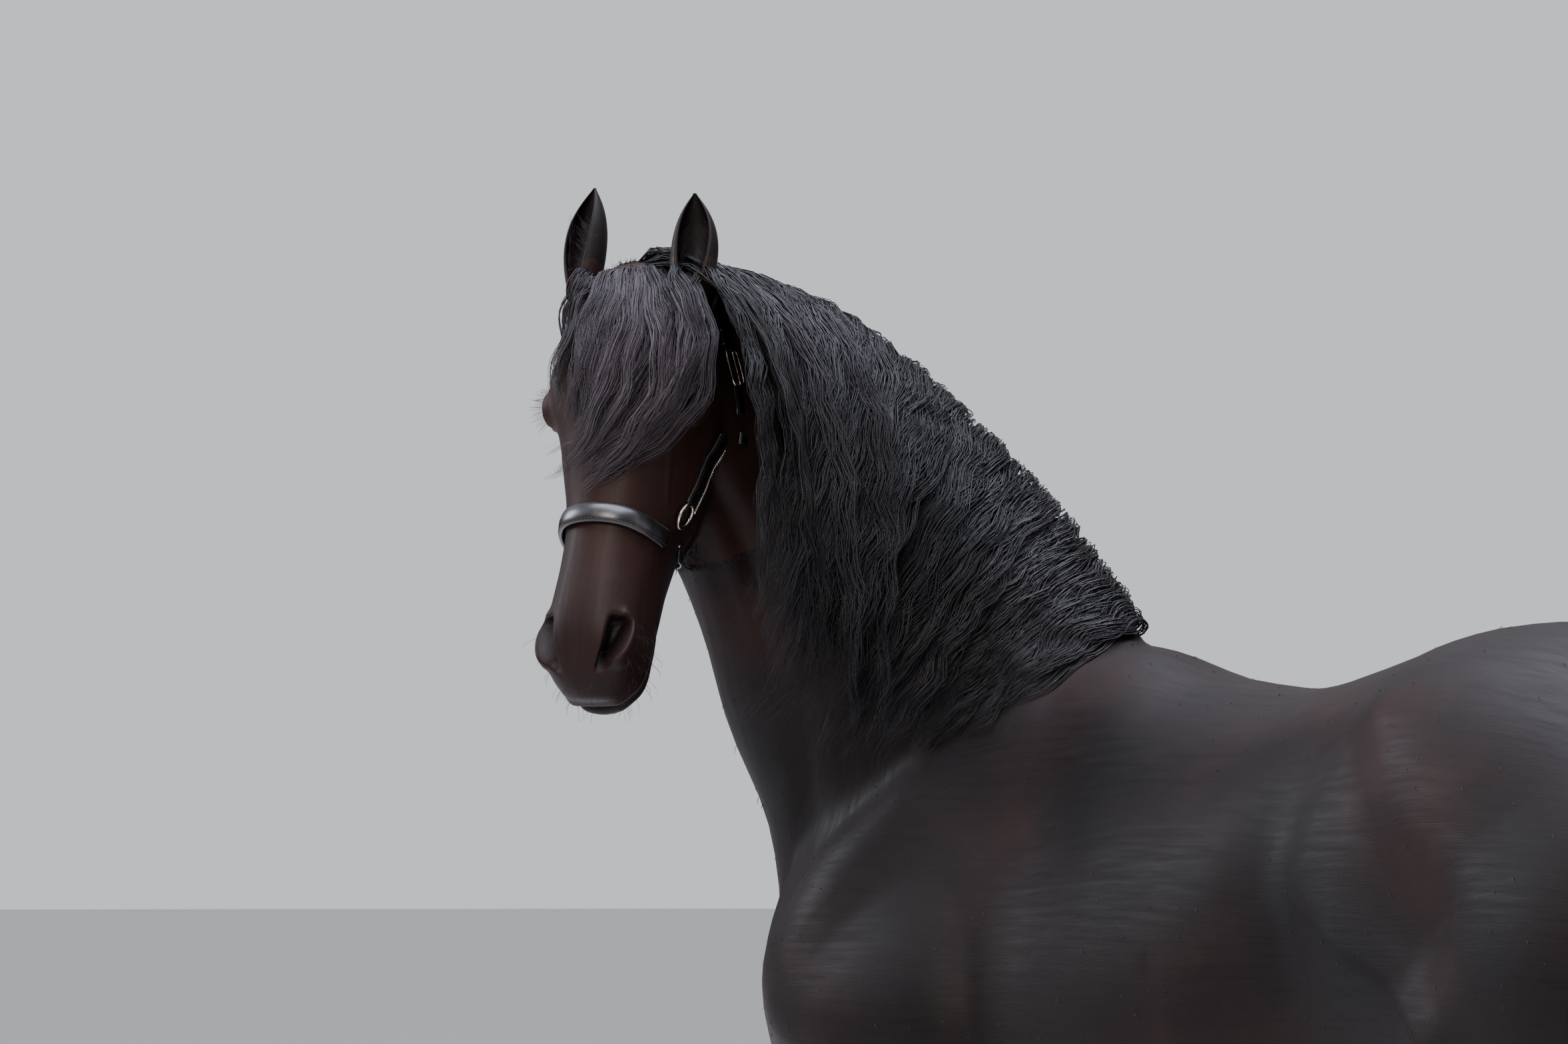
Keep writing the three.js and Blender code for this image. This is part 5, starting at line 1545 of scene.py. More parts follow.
class HORSE_OT_mane(bpy.types.Operator):
    """Long wavy mane that falls from the crest down the left side of the neck"""
    bl_idname = "horse.mane"
    bl_label = "Mane"

    def execute(self, context):
        sizes, colours = settings()
        rng = np.random.default_rng(11)
        tree = skin_tree()
        material = hair_material("black_mane_hair", colours.mane_dark, colours.mane_light, 0.36)
        lines, roots, tones = [], [], []
        per = sizes.mane_strands

        def lock(t, across, heading_side, rise, lift, length, flow, width):
            s = {key: value[0] for key, value in neck_sections(t).items()}
            root = placed(
                s["centre"] + s["up"] * (s["rise"] - 9 - 0.010 * across ** 2) + s["side"] * across
            )
            fall = unit(GRAVITY + s["ahead"] * flow)
            early = s["side"] * heading_side + s["up"] * rise - s["ahead"] * (
                rng.random() * max(0.0, (t - 0.72) * 3.6)
            )
            path, outs = comb(tree, root, early, s["up"], length, fall, lift)
            lines.append(strands(
                path, outs, per, width, 0.010, 0.26, 0.0035 + 0.0035 * rng.random(), rng,
                points=20, clump=0.16, phase=rng.uniform(0, 6.28), wavelength=0.07 + 0.04 * rng.random(),
            ))
            chart = (0.56 + 0.40 * t, 0.24)
            roots.append(np.array(chart) + 0.006 * rng.uniform(-1, 1, (per, 2)))
            tones.append(np.clip(rng.uniform(0.0, 0.6) + 0.22 * rng.normal(0, 1, per), 0, 1))

        for layer in range(5):
            count = 32 - 2 * layer
            for i in range(count):
                share = (i + 0.5 * (layer % 2) + rng.uniform(-0.25, 0.25)) / (count - 1)
                t = 0.19 + 0.795 * min(max(share, 0), 1)
                full = float(np.interp(
                    t, (0.19, 0.3, 0.5, 0.7, 0.88, 0.985), (0.30, 0.54, 0.80, 0.94, 1.0, 0.96)
                ))
                length = sizes.mane_length * full * (1 + 0.10 * rng.uniform(-1, 1))
                length = length * (1 - 0.09 * layer * rng.random())
                across = 20 - 9 * layer + rng.uniform(-3, 3)
                lock(t, across, 1.0, 0.02 + 0.05 * layer, 0.002 + 0.0032 * layer, length,
                     mane_flow(t) + 0.10 * rng.normal(), 0.034 + 0.016 * rng.random())
        # Short locks that fell to the other side of the crest
        for i in range(16):
            t = (0.24 + 0.05 * rng.random()) if i < 5 else 0.42 + 0.34 * (i - 5) / 10
            lock(
                t, -16 + rng.uniform(-4, 4), -1.0, 0.25, 0.003, 0.13 + 0.09 * rng.random(),
                mane_flow(t) * 0.6, 0.034
            )
        # Light wisps from the poll that fall forward over the strap
        for i in range(4):
            lock(
                0.95 + 0.01 * i, 14 + 7 * i, 1.0, 0.2, 0.008, 0.11 + 0.05 * rng.random(),
                0.32 + 0.1 * rng.random(), 0.016
            )
        lines = held_out(tree, np.concatenate(lines), 0.0012)
        girth = girths(len(lines), lines.shape[1], 0.00082, rng)
        in_pieces("mane", lines, girth, np.concatenate(roots), np.concatenate(tones), material)
        return {"FINISHED"}


class HORSE_OT_forelock(bpy.types.Operator):
    """Forelock swept from between the ears over the forehead and the left eye"""
    bl_idname = "horse.forelock"
    bl_label = "Forelock"

    def execute(self, context):
        sizes, colours = settings()
        rng = np.random.default_rng(23)
        tree = skin_tree()
        material = hair_material(
            "bleached_forelock_hair", colours.forelock_dark, colours.forelock_light, 0.42
        )
        lines, roots, tones = [], [], []
        count, per = 46, 34
        for i in range(count):
            # From the left ear at 0 to the right ear at 1
            share = i / (count - 1)
            right = -70 + 126 * share + rng.uniform(-4, 4)
            down = -14 + 30 * (i % 3) / 2 + rng.uniform(-4, 4) + 10 * abs(share - 0.5)
            touch, face, _, _ = tree.find_nearest(Vector(on_head(down, 26, right)))
            sweep = 7.5 * max(0.0, 1 - 1.15 * share) ** 2.1 + 0.15 + 0.2 * rng.normal()
            heading = DOWN * 0.8 + OUT * 0.45 + RIGHT * (-1.15 + 1.35 * share + 0.12 * rng.normal())
            fall = unit(
                DOWN * 0.6 + GRAVITY * 0.4 + RIGHT * (0.08 * rng.normal() - 0.7 * max(0.0, 0.45 - share))
            )
            length = sizes.forelock_length * (1 + 0.10 * rng.uniform(-1, 1)) * (1.20 - 0.62 * share)
            lift = 0.0015 + 0.0034 * (i % 4)
            path, outs = comb(
                tree, np.array(touch), heading, np.array(face), length, fall, lift, stiff=0.82,
                turn=RIGHT * sweep
            )
            lines.append(strands(
                path, outs, per, 0.020 + 0.014 * rng.random(), 0.006, 0.34, 0.0034, rng,
                points=17, clump=0.22, phase=rng.uniform(0, 6.28), wavelength=0.085,
            ))
            spots = np.stack(
                [0.60 + 0.006 * rng.uniform(-1, 1, per), 0.74 + 0.01 * rng.uniform(-1, 1, per)], 1
            )
            roots.append(spots)
            tones.append(np.clip(rng.uniform(0.0, 0.9) + 0.16 * rng.normal(0, 1, per), 0, 1))
        lines = held_out(tree, np.concatenate(lines), 0.001)
        girth = girths(len(lines), lines.shape[1], 0.00062, rng)
        in_pieces("forelock", lines, girth, np.concatenate(roots), np.concatenate(tones), material)
        return {"FINISHED"}


class HORSE_OT_tail(bpy.types.Operator):
    """Full wavy tail that hangs from the dock almost to the floor"""
    bl_idname = "horse.tail"
    bl_label = "Tail"

    def execute(self, context):
        sizes, _ = settings()
        rng = np.random.default_rng(31)
        material = bpy.data.materials["black_mane_hair"]
        lines, roots, tones = [], [], []
        count, per = 44, sizes.tail_strands
        for i in range(count):
            around = 2 * math.pi * ((i * 0.618) % 1)
            start = 1392 - 250 * (i / count) ** 0.8
            outward = np.array([0.55 * math.cos(around) - 0.30, math.sin(around), 0.0])
            outward = outward / np.linalg.norm(outward)
            end = max(start - 1260 * (0.88 + 0.12 * rng.random()), 96 + 60 * rng.random() ** 2)
            z = np.linspace(start, end, 26)
            x = -908 - 26 * np.sin(np.pi * (1400 - z) / 1500)
            full = np.sin(np.pi * np.minimum(0.9, 0.12 + 0.62 * (1400 - z) / 1200))
            depth = rng.random() ** 0.5
            wide = (20 + 44 * full * depth) * (1 - 0.5 * np.linspace(0, 1, 26) ** 3)
            wide[0], wide[1] = 4, 16
            sway = np.sin(np.linspace(0, 1, 26) * 9 + i) * 7
            across = np.array([-outward[1], outward[0], 0.0])
            wide = wide * (0.62 + 0.38 * abs(outward[1]))
            path = np.stack([x, 0 * x, z], 1) + np.outer(wide, outward) + np.outer(sway, across)
            outs = np.repeat(outward[None], 26, 0)
            lines.append(strands(
                placed(path), outs, per, 0.050, 0.018, 0.30, 0.006, rng,
                points=24, clump=0.4, phase=rng.uniform(0, 6.28), wavelength=0.13,
            ))
            spots = np.stack([0.02 + 0.012 * rng.random(per), 0.46 + 0.01 * rng.random(per)], 1)
            roots.append(spots)
            tones.append(np.clip(rng.uniform(0.0, 0.5) + 0.25 * rng.normal(0, 1, per), 0, 1))
        lines = np.concatenate(lines)
        lines[..., 2] = np.maximum(lines[..., 2], 0.07)
        girth = girths(len(lines), lines.shape[1], 0.00155, rng)
        made = in_pieces(
            "tail_hair", lines, girth, np.concatenate(roots), np.concatenate(tones), material
        )
        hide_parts("tail")
        return {"FINISHED"}


class HORSE_OT_feathers(bpy.types.Operator):
    """Long hair that falls from the back of the cannons and round the fetlocks over the hooves"""
    bl_idname = "horse.feathers"
    bl_label = "Feathers"

    def execute(self, context):
        sizes, _ = settings()
        rng = np.random.default_rng(47)
        tree = skin_tree()
        material = bpy.data.materials["black_mane_hair"]
        lines, roots, tones = [], [], []
        per = 15
        for leg, (_, table, hand) in enumerate(LEGS):
            fetlock = dict(zip(LEG_COLUMNS, [r for r in table if r[0] == "fetlock"][0][1:]))
            middle = np.array([
                (fetlock["front"] + fetlock["back"]) / 2,
                hand * (fetlock["inner"] + fetlock["outer"]) / 2, 0
            ])
            heading_of = turned(middle + np.array([1.0, 0, 0])) - turned(middle)
            ahead = unit(heading_of)
            aside = np.cross((0, 0, 1), ahead)
            for i in range(58):
                level = i / 57
                back_only = level > 0.62
                turn = rng.uniform(-1, 1) * (0.30 if back_only else 0.80) * math.pi
                outward = -ahead * math.cos(turn) + aside * math.sin(turn)
                high = 150 + 340 * level ** 1.2 + rng.uniform(-8, 8)
                seek = placed(turned(middle + np.array([0, 0, high]))) + outward * 0.07
                touch, face, _, _ = tree.find_nearest(Vector(seek))
                length = sizes.feather_length * (1.12 if level < 0.5 else 0.62) * rng.uniform(0.85, 1.1)
                length = min(length, (high - 24) * 0.001)
                heading = outward * (0.50 if level < 0.5 else 0.22) + GRAVITY
                fall = unit(GRAVITY + outward * 0.10)
                lift = 0.002 + 0.010 * rng.random() * (1 - 0.7 * level)
                path, outs = comb(
                    tree, np.array(touch), heading, np.array(face), length, fall, lift, steps=12,
                    stiff=0.8
                )
                lines.append(strands(
                    path, outs, per, 0.030, 0.010, 0.35, 0.0025, rng,
                    points=10, clump=0.3, phase=rng.uniform(0, 6.28), wavelength=0.07,
                ))
                column = leg * 0.13 + 0.02
                spots = np.stack(
                    [
                        column + 0.055 + 0.04 * rng.uniform(-1, 1, per),
                        np.full(per, 0.52 + 0.44 * high / 905)
                    ],
                    1
                )
                roots.append(spots)
                tones.append(np.clip(rng.uniform(0.1, 0.5) + 0.2 * rng.normal(0, 1, per), 0, 1))
        lines = np.concatenate(lines)
        lines[..., 2] = np.maximum(lines[..., 2], 0.012)
        girth = girths(len(lines), lines.shape[1], 0.0013, rng)
        in_pieces("feather", lines, girth, np.concatenate(roots), np.concatenate(tones), material)
        return {"FINISHED"}


# Short hair that breaks the outline: places, reach round them and length in millimetres, and its count
FUR_LINES = (
    ("belly", ((300, 0, 785), (0, 0, 812), (-250, 0, 860)), 80, 420, 15),
    ("breast", ((905, 0, 1210), (890, 0, 1080), (850, 0, 990)), 60, 200, 13),
    ("elbow", ((350, 240, 965), (400, 190, 900)), 52, 160, 14),
    ("back of the forearm", ((366, 150, 850), (430, 150, 560)), 40, 150, 9),
    ("fold of the stifle", ((-262, 270, 985), (-190, 240, 880)), 48, 160, 13),
    ("buttock", ((-870, 60, 1260), (-850, 60, 1100), (-800, 70, 960)), 66, 260, 13),
    ("back of the gaskin", ((-770, 150, 820), (-890, 157, 640), (-872, 157, 500)), 44, 240, 10),
)
HEAD_FUR_LINES = (
    ("jaw", ((60, -224, 0), (180, -280, 0), (342, -186, 0)), 56, 240, 11),
    ("chin", ((470, -146, 0), (552, -138, 0)), 34, 90, 7),
    ("poll", ((-20, -10, -60), (-20, -10, 60)), 40, 160, 14),
)


def tufts(mesh, picked, normals, length, rise, per, rng):
    """Short curved hairs from chosen vertices of the skin, laid down and back as the coat is."""
    roots = points_of(mesh)[picked]
    head = is_on_head(head_places(roots))
    lay = np.where(head[:, None], DOWN, np.where(roots[:, 2:] < 0.8, GRAVITY, unit([-0.75, 0.1, -0.6])))
    lay = lay + rng.normal(0, 0.22, lay.shape)
    normals = normals[picked]
    way = unit(lay - normals * (lay * normals).sum(1, keepdims=True))
    long = length * rng.uniform(0.6, 1.2, (len(picked), 1, 1))
    share = np.linspace(-0.12, 1, per)[None, :, None]
    bend = way[:, None] * share + normals[:, None] * (rise * np.sin(np.clip(share, -0.5, 1) * 1.9))
    return roots[:, None] + bend * long


class HORSE_OT_fur(bpy.types.Operator):
    """Short tufts where the coat breaks the outline, with lashes, whiskers and the hair in the ears"""
    bl_idname = "horse.fur"
    bl_label = "Short hair"

    def execute(self, context):
        rng = np.random.default_rng(59)
        mesh = bpy.data.objects["skin"].data
        points, normals = points_of(mesh), normals_of(mesh)
        chart = np.empty(len(points) * 3)
        mesh.attributes["chart"].data.foreach_get("vector", chart)
        chart = chart.reshape(-1, 3)[:, :2]
        material = hair_material("short_black_fur", "#0a0708", "#2a2023", 0.5)
        lines, roots = [], []

        def scattered(near, count, length, rise):
            picked = np.nonzero(near)[0]
            if len(picked) > count:
                picked = rng.choice(picked, count, replace=False)
            lines.append(tufts(mesh, picked, normals, length * 0.001, rise, 4, rng))
            roots.append(chart[picked])

        for _, hand in HANDS:
            for _, line, reach, count, length in FUR_LINES:
                scattered(
                    gap_to(points, ridge_places(line, hand)) < reach * 0.001, count // 2, length, 0.42
                )
        for _, line, reach, count, length in HEAD_FUR_LINES:
            line = np.array(line, float)
            near = gap_to(points, on_head(line[:, 0], line[:, 1], line[:, 2])) < reach * 0.001
            scattered(near, count, length, 0.42)
        s = neck_sections(np.linspace(0.3, 0.95, 8))
        throat = placed(s["centre"] - s["up"] * s["drop"][:, None])
        scattered(gap_to(points, throat) < 0.05, 300, 13, 0.42)
        scattered((points[:, 2] > 0.5) & ~is_on_head(head_places(points)), 1700, 8, 0.2)
        lines, roots = np.concatenate(lines), np.concatenate(roots)
        girth = girths(len(lines), 4, 0.00042, rng)
        in_pieces("coat_tufts", lines, girth, roots, rng.random(len(lines)), material)

        lines, roots = [], []
        places = head_places(points)
        muzzle = (places[:, 0] > 490) & (places[:, 0] < 582)
        muzzle = muzzle & (np.abs(places[:, 2]) < 74) & (places[:, 1] < -30)
        picked = rng.choice(np.nonzero(muzzle & is_on_head(places))[0], 90, replace=False)
        lines.append(tufts(mesh, picked, normals, 0.017, 1.1, 6, rng))
        roots.append(chart[picked])
        for _, hand in HANDS:
            long = np.linspace(-21, 22, 38)
            high = 16.5 * (1 - (np.abs(long) / 27) ** 2.2) + 1
            side = np.sqrt(np.maximum(28.5 ** 2 - long ** 2 - high ** 2, 40))
            spot = on_head(EYE["down"] + long, EYE["depth"] + high, -hand * (EYE["out"] + side))
            away = unit(spot - on_head(EYE["down"], EYE["depth"], -hand * EYE["out"]))
            reach = (0.013 + 0.004 * rng.random(38))[:, None, None]
            share = np.linspace(0, 1, 6)[None, :, None]
            curl = DOWN * 0.35 + OUT * 0.25 + rng.normal(0, 0.12, (38, 1, 3))
            lines.append(spot[:, None] + reach * (away[:, None] * share + curl * share ** 2))
            roots.append(np.full((38, 2), 0.7) + 0.01 * rng.random((38, 2)))
            base, axis, front, across, _ = ear_frame(hand)
            u = rng.uniform(0.06, 0.62, 170)
            turn = np.where(rng.random(170) < 0.5, -1, 1) * rng.uniform(1.2, 2.3, 170)
            wide = EAR["radius"] * 0.72
            spot = base + np.outer(EAR["length"] * u - 8, axis) - np.outer(
                wide * 0.8 * np.cos(turn), front
            )
            spot = placed(spot + np.outer(wide * 0.9 * np.sin(turn), across))
            way = unit(
                axis * 0.9 + front * 0.45 - across * np.sin(turn)[:, None] * 0.55
                + rng.normal(0, 0.15, (170, 3))
            )
            lines.append(spot[:, None] + way[:, None] * share * (0.016 + 0.014 * rng.random((170, 1, 1))))
            roots.append(np.full((170, 2), 0.8) + 0.01 * rng.random((170, 2)))
        lines, roots = np.concatenate(lines), np.concatenate(roots)
        girth = girths(len(lines), 6, 0.00028, rng)
        in_pieces("lashes_and_whiskers", lines, girth, roots, rng.random(len(lines)) * 0.4, material)
        return {"FINISHED"}


# Headcollar, placed on the side view of the head in its own millimetres

CHEEK_RING, TOP_RING, CROWN = (360, -112), (192, -146), (-60, -62)


def band(path, normals, across, width, thick, name, pad=0.0, lift=0.0006):
    """A strap with rounded edges along a path on the skin, padded where asked, and its sides and outs."""
    way = unit(np.gradient(path, axis=0))
    side = unit(across - way * (across * way).sum(-1, keepdims=True))
    out = unit(np.cross(way, side))
    out = out * np.sign((out * normals).sum(-1, keepdims=True))
    turn = np.linspace(0, 2 * np.pi, 28, endpoint=False)
    wide = np.sign(np.cos(turn)) * np.abs(np.cos(turn)) ** 0.45
    high = np.sign(np.sin(turn)) * np.abs(np.sin(turn)) ** 0.7
    crown = pad * (1 - wide ** 2)
    loops = path[:, None] + side[:, None] * (wide * width / 2)[None, :, None]
    proud = lift + thick / 2 + high * thick / 2 + np.where(high > 0, crown, 0)
    loops = loops + out[:, None] * proud[None, :, None]
    points, faces = loft(loops)
    return new_object(name, points, faces, outward=True), side, out


def bead_tree():
    """Lays beads along lines: stitches in leather, or the twists of a rope where they are tilted."""
    name = "beads along a line"
    if name in bpy.data.node_groups:
        return bpy.data.node_groups[name]
    tree, start, end = new_tree(name, (
        ("Spacing", "NodeSocketFloat", 0.005), ("Size", "NodeSocketVector", (0.0017, 0.0005, 0.0004)),
        ("Tilt", "NodeSocketFloat", 0.0), ("Finish", "NodeSocketMaterial", None),
    ))
    line = add_node(tree, "GeometryNodeMeshToCurve", {"Mesh": start["Geometry"]})
    even = add_node(
        tree, "GeometryNodeResampleCurve", {"Curve": line.outputs["Curve"], "Length": start["Spacing"]},
        mode="LENGTH"
    )
    tangent = add_node(tree, "GeometryNodeInputTangent").outputs["Tangent"]
    out = add_node(
        tree, "GeometryNodeInputNamedAttribute", {"Name": "out"}, data_type="FLOAT_VECTOR"
    ).outputs["Attribute"]
    first = add_node(tree, "FunctionNodeAlignRotationToVector", {"Vector": tangent}, axis="X")
    second = add_node(tree, "FunctionNodeAlignRotationToVector", {
        "Rotation": first.outputs["Rotation"], "Vector": out,
    }, axis="Z", pivot_axis="X")
    tilt = add_node(tree, "ShaderNodeCombineXYZ", {"Z": start["Tilt"]})
    third = add_node(tree, "FunctionNodeRotateRotation", {
        "Rotation": second.outputs["Rotation"], "Rotate By": tilt.outputs["Vector"],
    }, rotation_space="LOCAL")
    bead = add_node(tree, "GeometryNodeMeshUVSphere", {"Segments": 8, "Rings": 6, "Radius": 1.0})
    laid = add_node(tree, "GeometryNodeInstanceOnPoints", {
        "Points": even.outputs["Curve"], "Instance": bead.outputs["Mesh"], "Rotation": third.outputs["Rotation"],
        "Scale": start["Size"],
    })
    finish_tree(tree, laid.outputs["Instances"], start["Finish"], end)
    return tree


def beads(name, path, outs, spacing, size, tilt, material):
    """One row of beads along a path."""
    made = new_object(name, path, [], edges=[(i, i + 1) for i in range(len(path) - 1)], smooth=False)
    stored(made.data, "out", "FLOAT_VECTOR", outs)
    tree = bead_tree()
    layer = made.modifiers.new("beads", "NODES")
    layer.node_group = tree
    for label, value in (("Spacing", spacing), ("Size", size), ("Tilt", tilt), ("Finish", material)):
        layer[socket_id(tree, label)] = value
    frozen(made)
    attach(made, "root")
    return made


def leather_material():
    """Polished black harness leather: fine creases and dull scuffs."""
    made, tree, shader = new_material("polished_black_leather", {
        "IOR": 1.5, "Specular IOR Level": 0.55, "Coat Weight": 0.25, "Coat Roughness": 0.18,
    })
    places = add_node(tree, "ShaderNodeTexCoord").outputs["Object"]
    # Leather grain about 1.2 mm
    pores = add_node(tree, "ShaderNodeTexVoronoi", {"Vector": places, "Scale": 820.0})
    # Scuffs about 17 mm across, where the polish is dull
    scuffs = add_node(
        tree, "ShaderNodeTexNoise", {"Vector": places, "Scale": 60.0, "Detail": 5.0, "Roughness": 0.65}
    )
    colour = add_node(
        tree, "ShaderNodeValToRGB", {"Fac": scuffs.outputs["Fac"]},
        stops=((0.35, "#09080a"), (0.6, "#121013"), (0.78, "#262024"))
    ).outputs["Color"]
    tree.links.new(colour, shader.inputs["Base Color"])
    rough = add_node(
        tree, "ShaderNodeMapRange", {"Value": scuffs.outputs["Fac"], "To Min": 0.22, "To Max": 0.46}
    )
    tree.links.new(rough.outputs["Result"], shader.inputs["Roughness"])
    bump = add_node(
        tree, "ShaderNodeBump",
        {"Strength": 0.25, "Distance": 0.0004, "Height": pores.outputs["Distance"]}
    )
    tree.links.new(bump.outputs["Normal"], shader.inputs["Normal"])
    return made


def metal_material(name, dark, light, rough_low, rough_high):
    """Polished metal with fine scratches and a little tarnish."""
    made, tree, shader = new_material(name, {"Metallic": 1.0})
    places = add_node(tree, "ShaderNodeTexCoord").outputs["Object"]
    # Tarnish in spots of about 11 mm
    tarnish = add_node(
        tree, "ShaderNodeTexNoise", {"Vector": places, "Scale": 90.0, "Detail": 4.0, "Roughness": 0.6}
    )
    colour = add_node(
        tree, "ShaderNodeValToRGB", {"Fac": tarnish.outputs["Fac"]}, stops=((0.32, dark), (0.6, light))
    ).outputs["Color"]
    tree.links.new(colour, shader.inputs["Base Color"])
    rough = add_node(
        tree, "ShaderNodeMapRange",
        {"Value": tarnish.outputs["Fac"], "To Min": rough_high, "To Max": rough_low}
    )
    tree.links.new(rough.outputs["Result"], shader.inputs["Roughness"])
    # Scratches 0.4 mm across and 3 mm long
    scratch_places = add_node(
        tree, "ShaderNodeMapping", {"Vector": places, "Scale": (300.0, 300.0, 2400.0)}
    )
    scratches = add_node(
        tree, "ShaderNodeTexNoise",
        {"Vector": scratch_places.outputs["Vector"], "Scale": 1.0, "Detail": 2.0}
    )
    bump = add_node(
        tree, "ShaderNodeBump", {"Strength": 0.12, "Distance": 0.0003, "Height": scratches.outputs["Fac"]}
    )
    tree.links.new(bump.outputs["Normal"], shader.inputs["Normal"])
    return made


def head_loop(tree, middle, toward, start, stop, reach=0.6, count=90):
    """Where rays fanned in one plane from a middle meet the skin; angles in degrees to the right."""
    path, normals = [], []
    for angle in np.radians(np.linspace(start, stop, count)):
        way = toward * math.cos(angle) + RIGHT * math.sin(angle)
        hit, face, _, _ = tree.ray_cast(Vector(middle), Vector(way), reach)
        if hit is None:
            continue
        path.append(np.array(hit))
        normals.append(np.array(face))
    path, normals = np.array(path), unit(np.array(normals))
    for _ in range(6):
        path[1:-1] = path[1:-1] * 0.5 + (path[:-2] + path[2:]) * 0.25
        normals[1:-1] = unit(normals[1:-1] * 0.5 + (normals[:-2] + normals[2:]) * 0.25)
    return path, normals


def ring_place(tree, kind, side):
    """The middle of a ring and the way that it faces."""
    low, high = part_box(f"headcollar_{kind}_ring_{side}")
    middle = (Vector(low) + Vector(high)) / 2
    _, face, _, _ = tree.find_nearest(middle)
    return np.array(middle), np.array(face)


def frame_path(centre, face, way, long, wide, power=1.0, count=56):
    """A closed path round a centre: a ring where power is 1, a rounded frame where it is less."""
    side = unit(np.cross(face, way))
    way = np.cross(side, face)
    turn = 2 * np.pi * np.arange(count) / count
    c, s = (np.sign(v) * np.abs(v) ** power for v in (np.cos(turn), np.sin(turn)))
    return centre + np.outer(long * c, way) + np.outer(wide * s, side)


def wire(middle, out, radius, closed=True, count=16):
    """Round wire along a path."""
    way = np.roll(middle, -1, 0) - np.roll(middle, 1, 0) if closed else np.gradient(middle, axis=0)
    side = unit(np.cross(unit(way), out))
    up = np.cross(side, unit(way))
    roll = 2 * np.pi * np.arange(count) / count
    loops = middle[:, None] + radius * (
        np.cos(roll)[None, :, None] * side[:, None] + np.sin(roll)[None, :, None] * up[:, None]
    )
    if not closed:
        return loft(loops)
    faces = []
    for i in range(len(middle)):
        for k in range(count):
            a, b = i * count + k, i * count + (k + 1) % count
            c, d = ((i + 1) % len(middle)) * count + (k + 1) % count, ((i + 1) % len(middle)) * count + k
            faces.append((a, b, c, d))
    return loops.reshape(-1, 3), faces


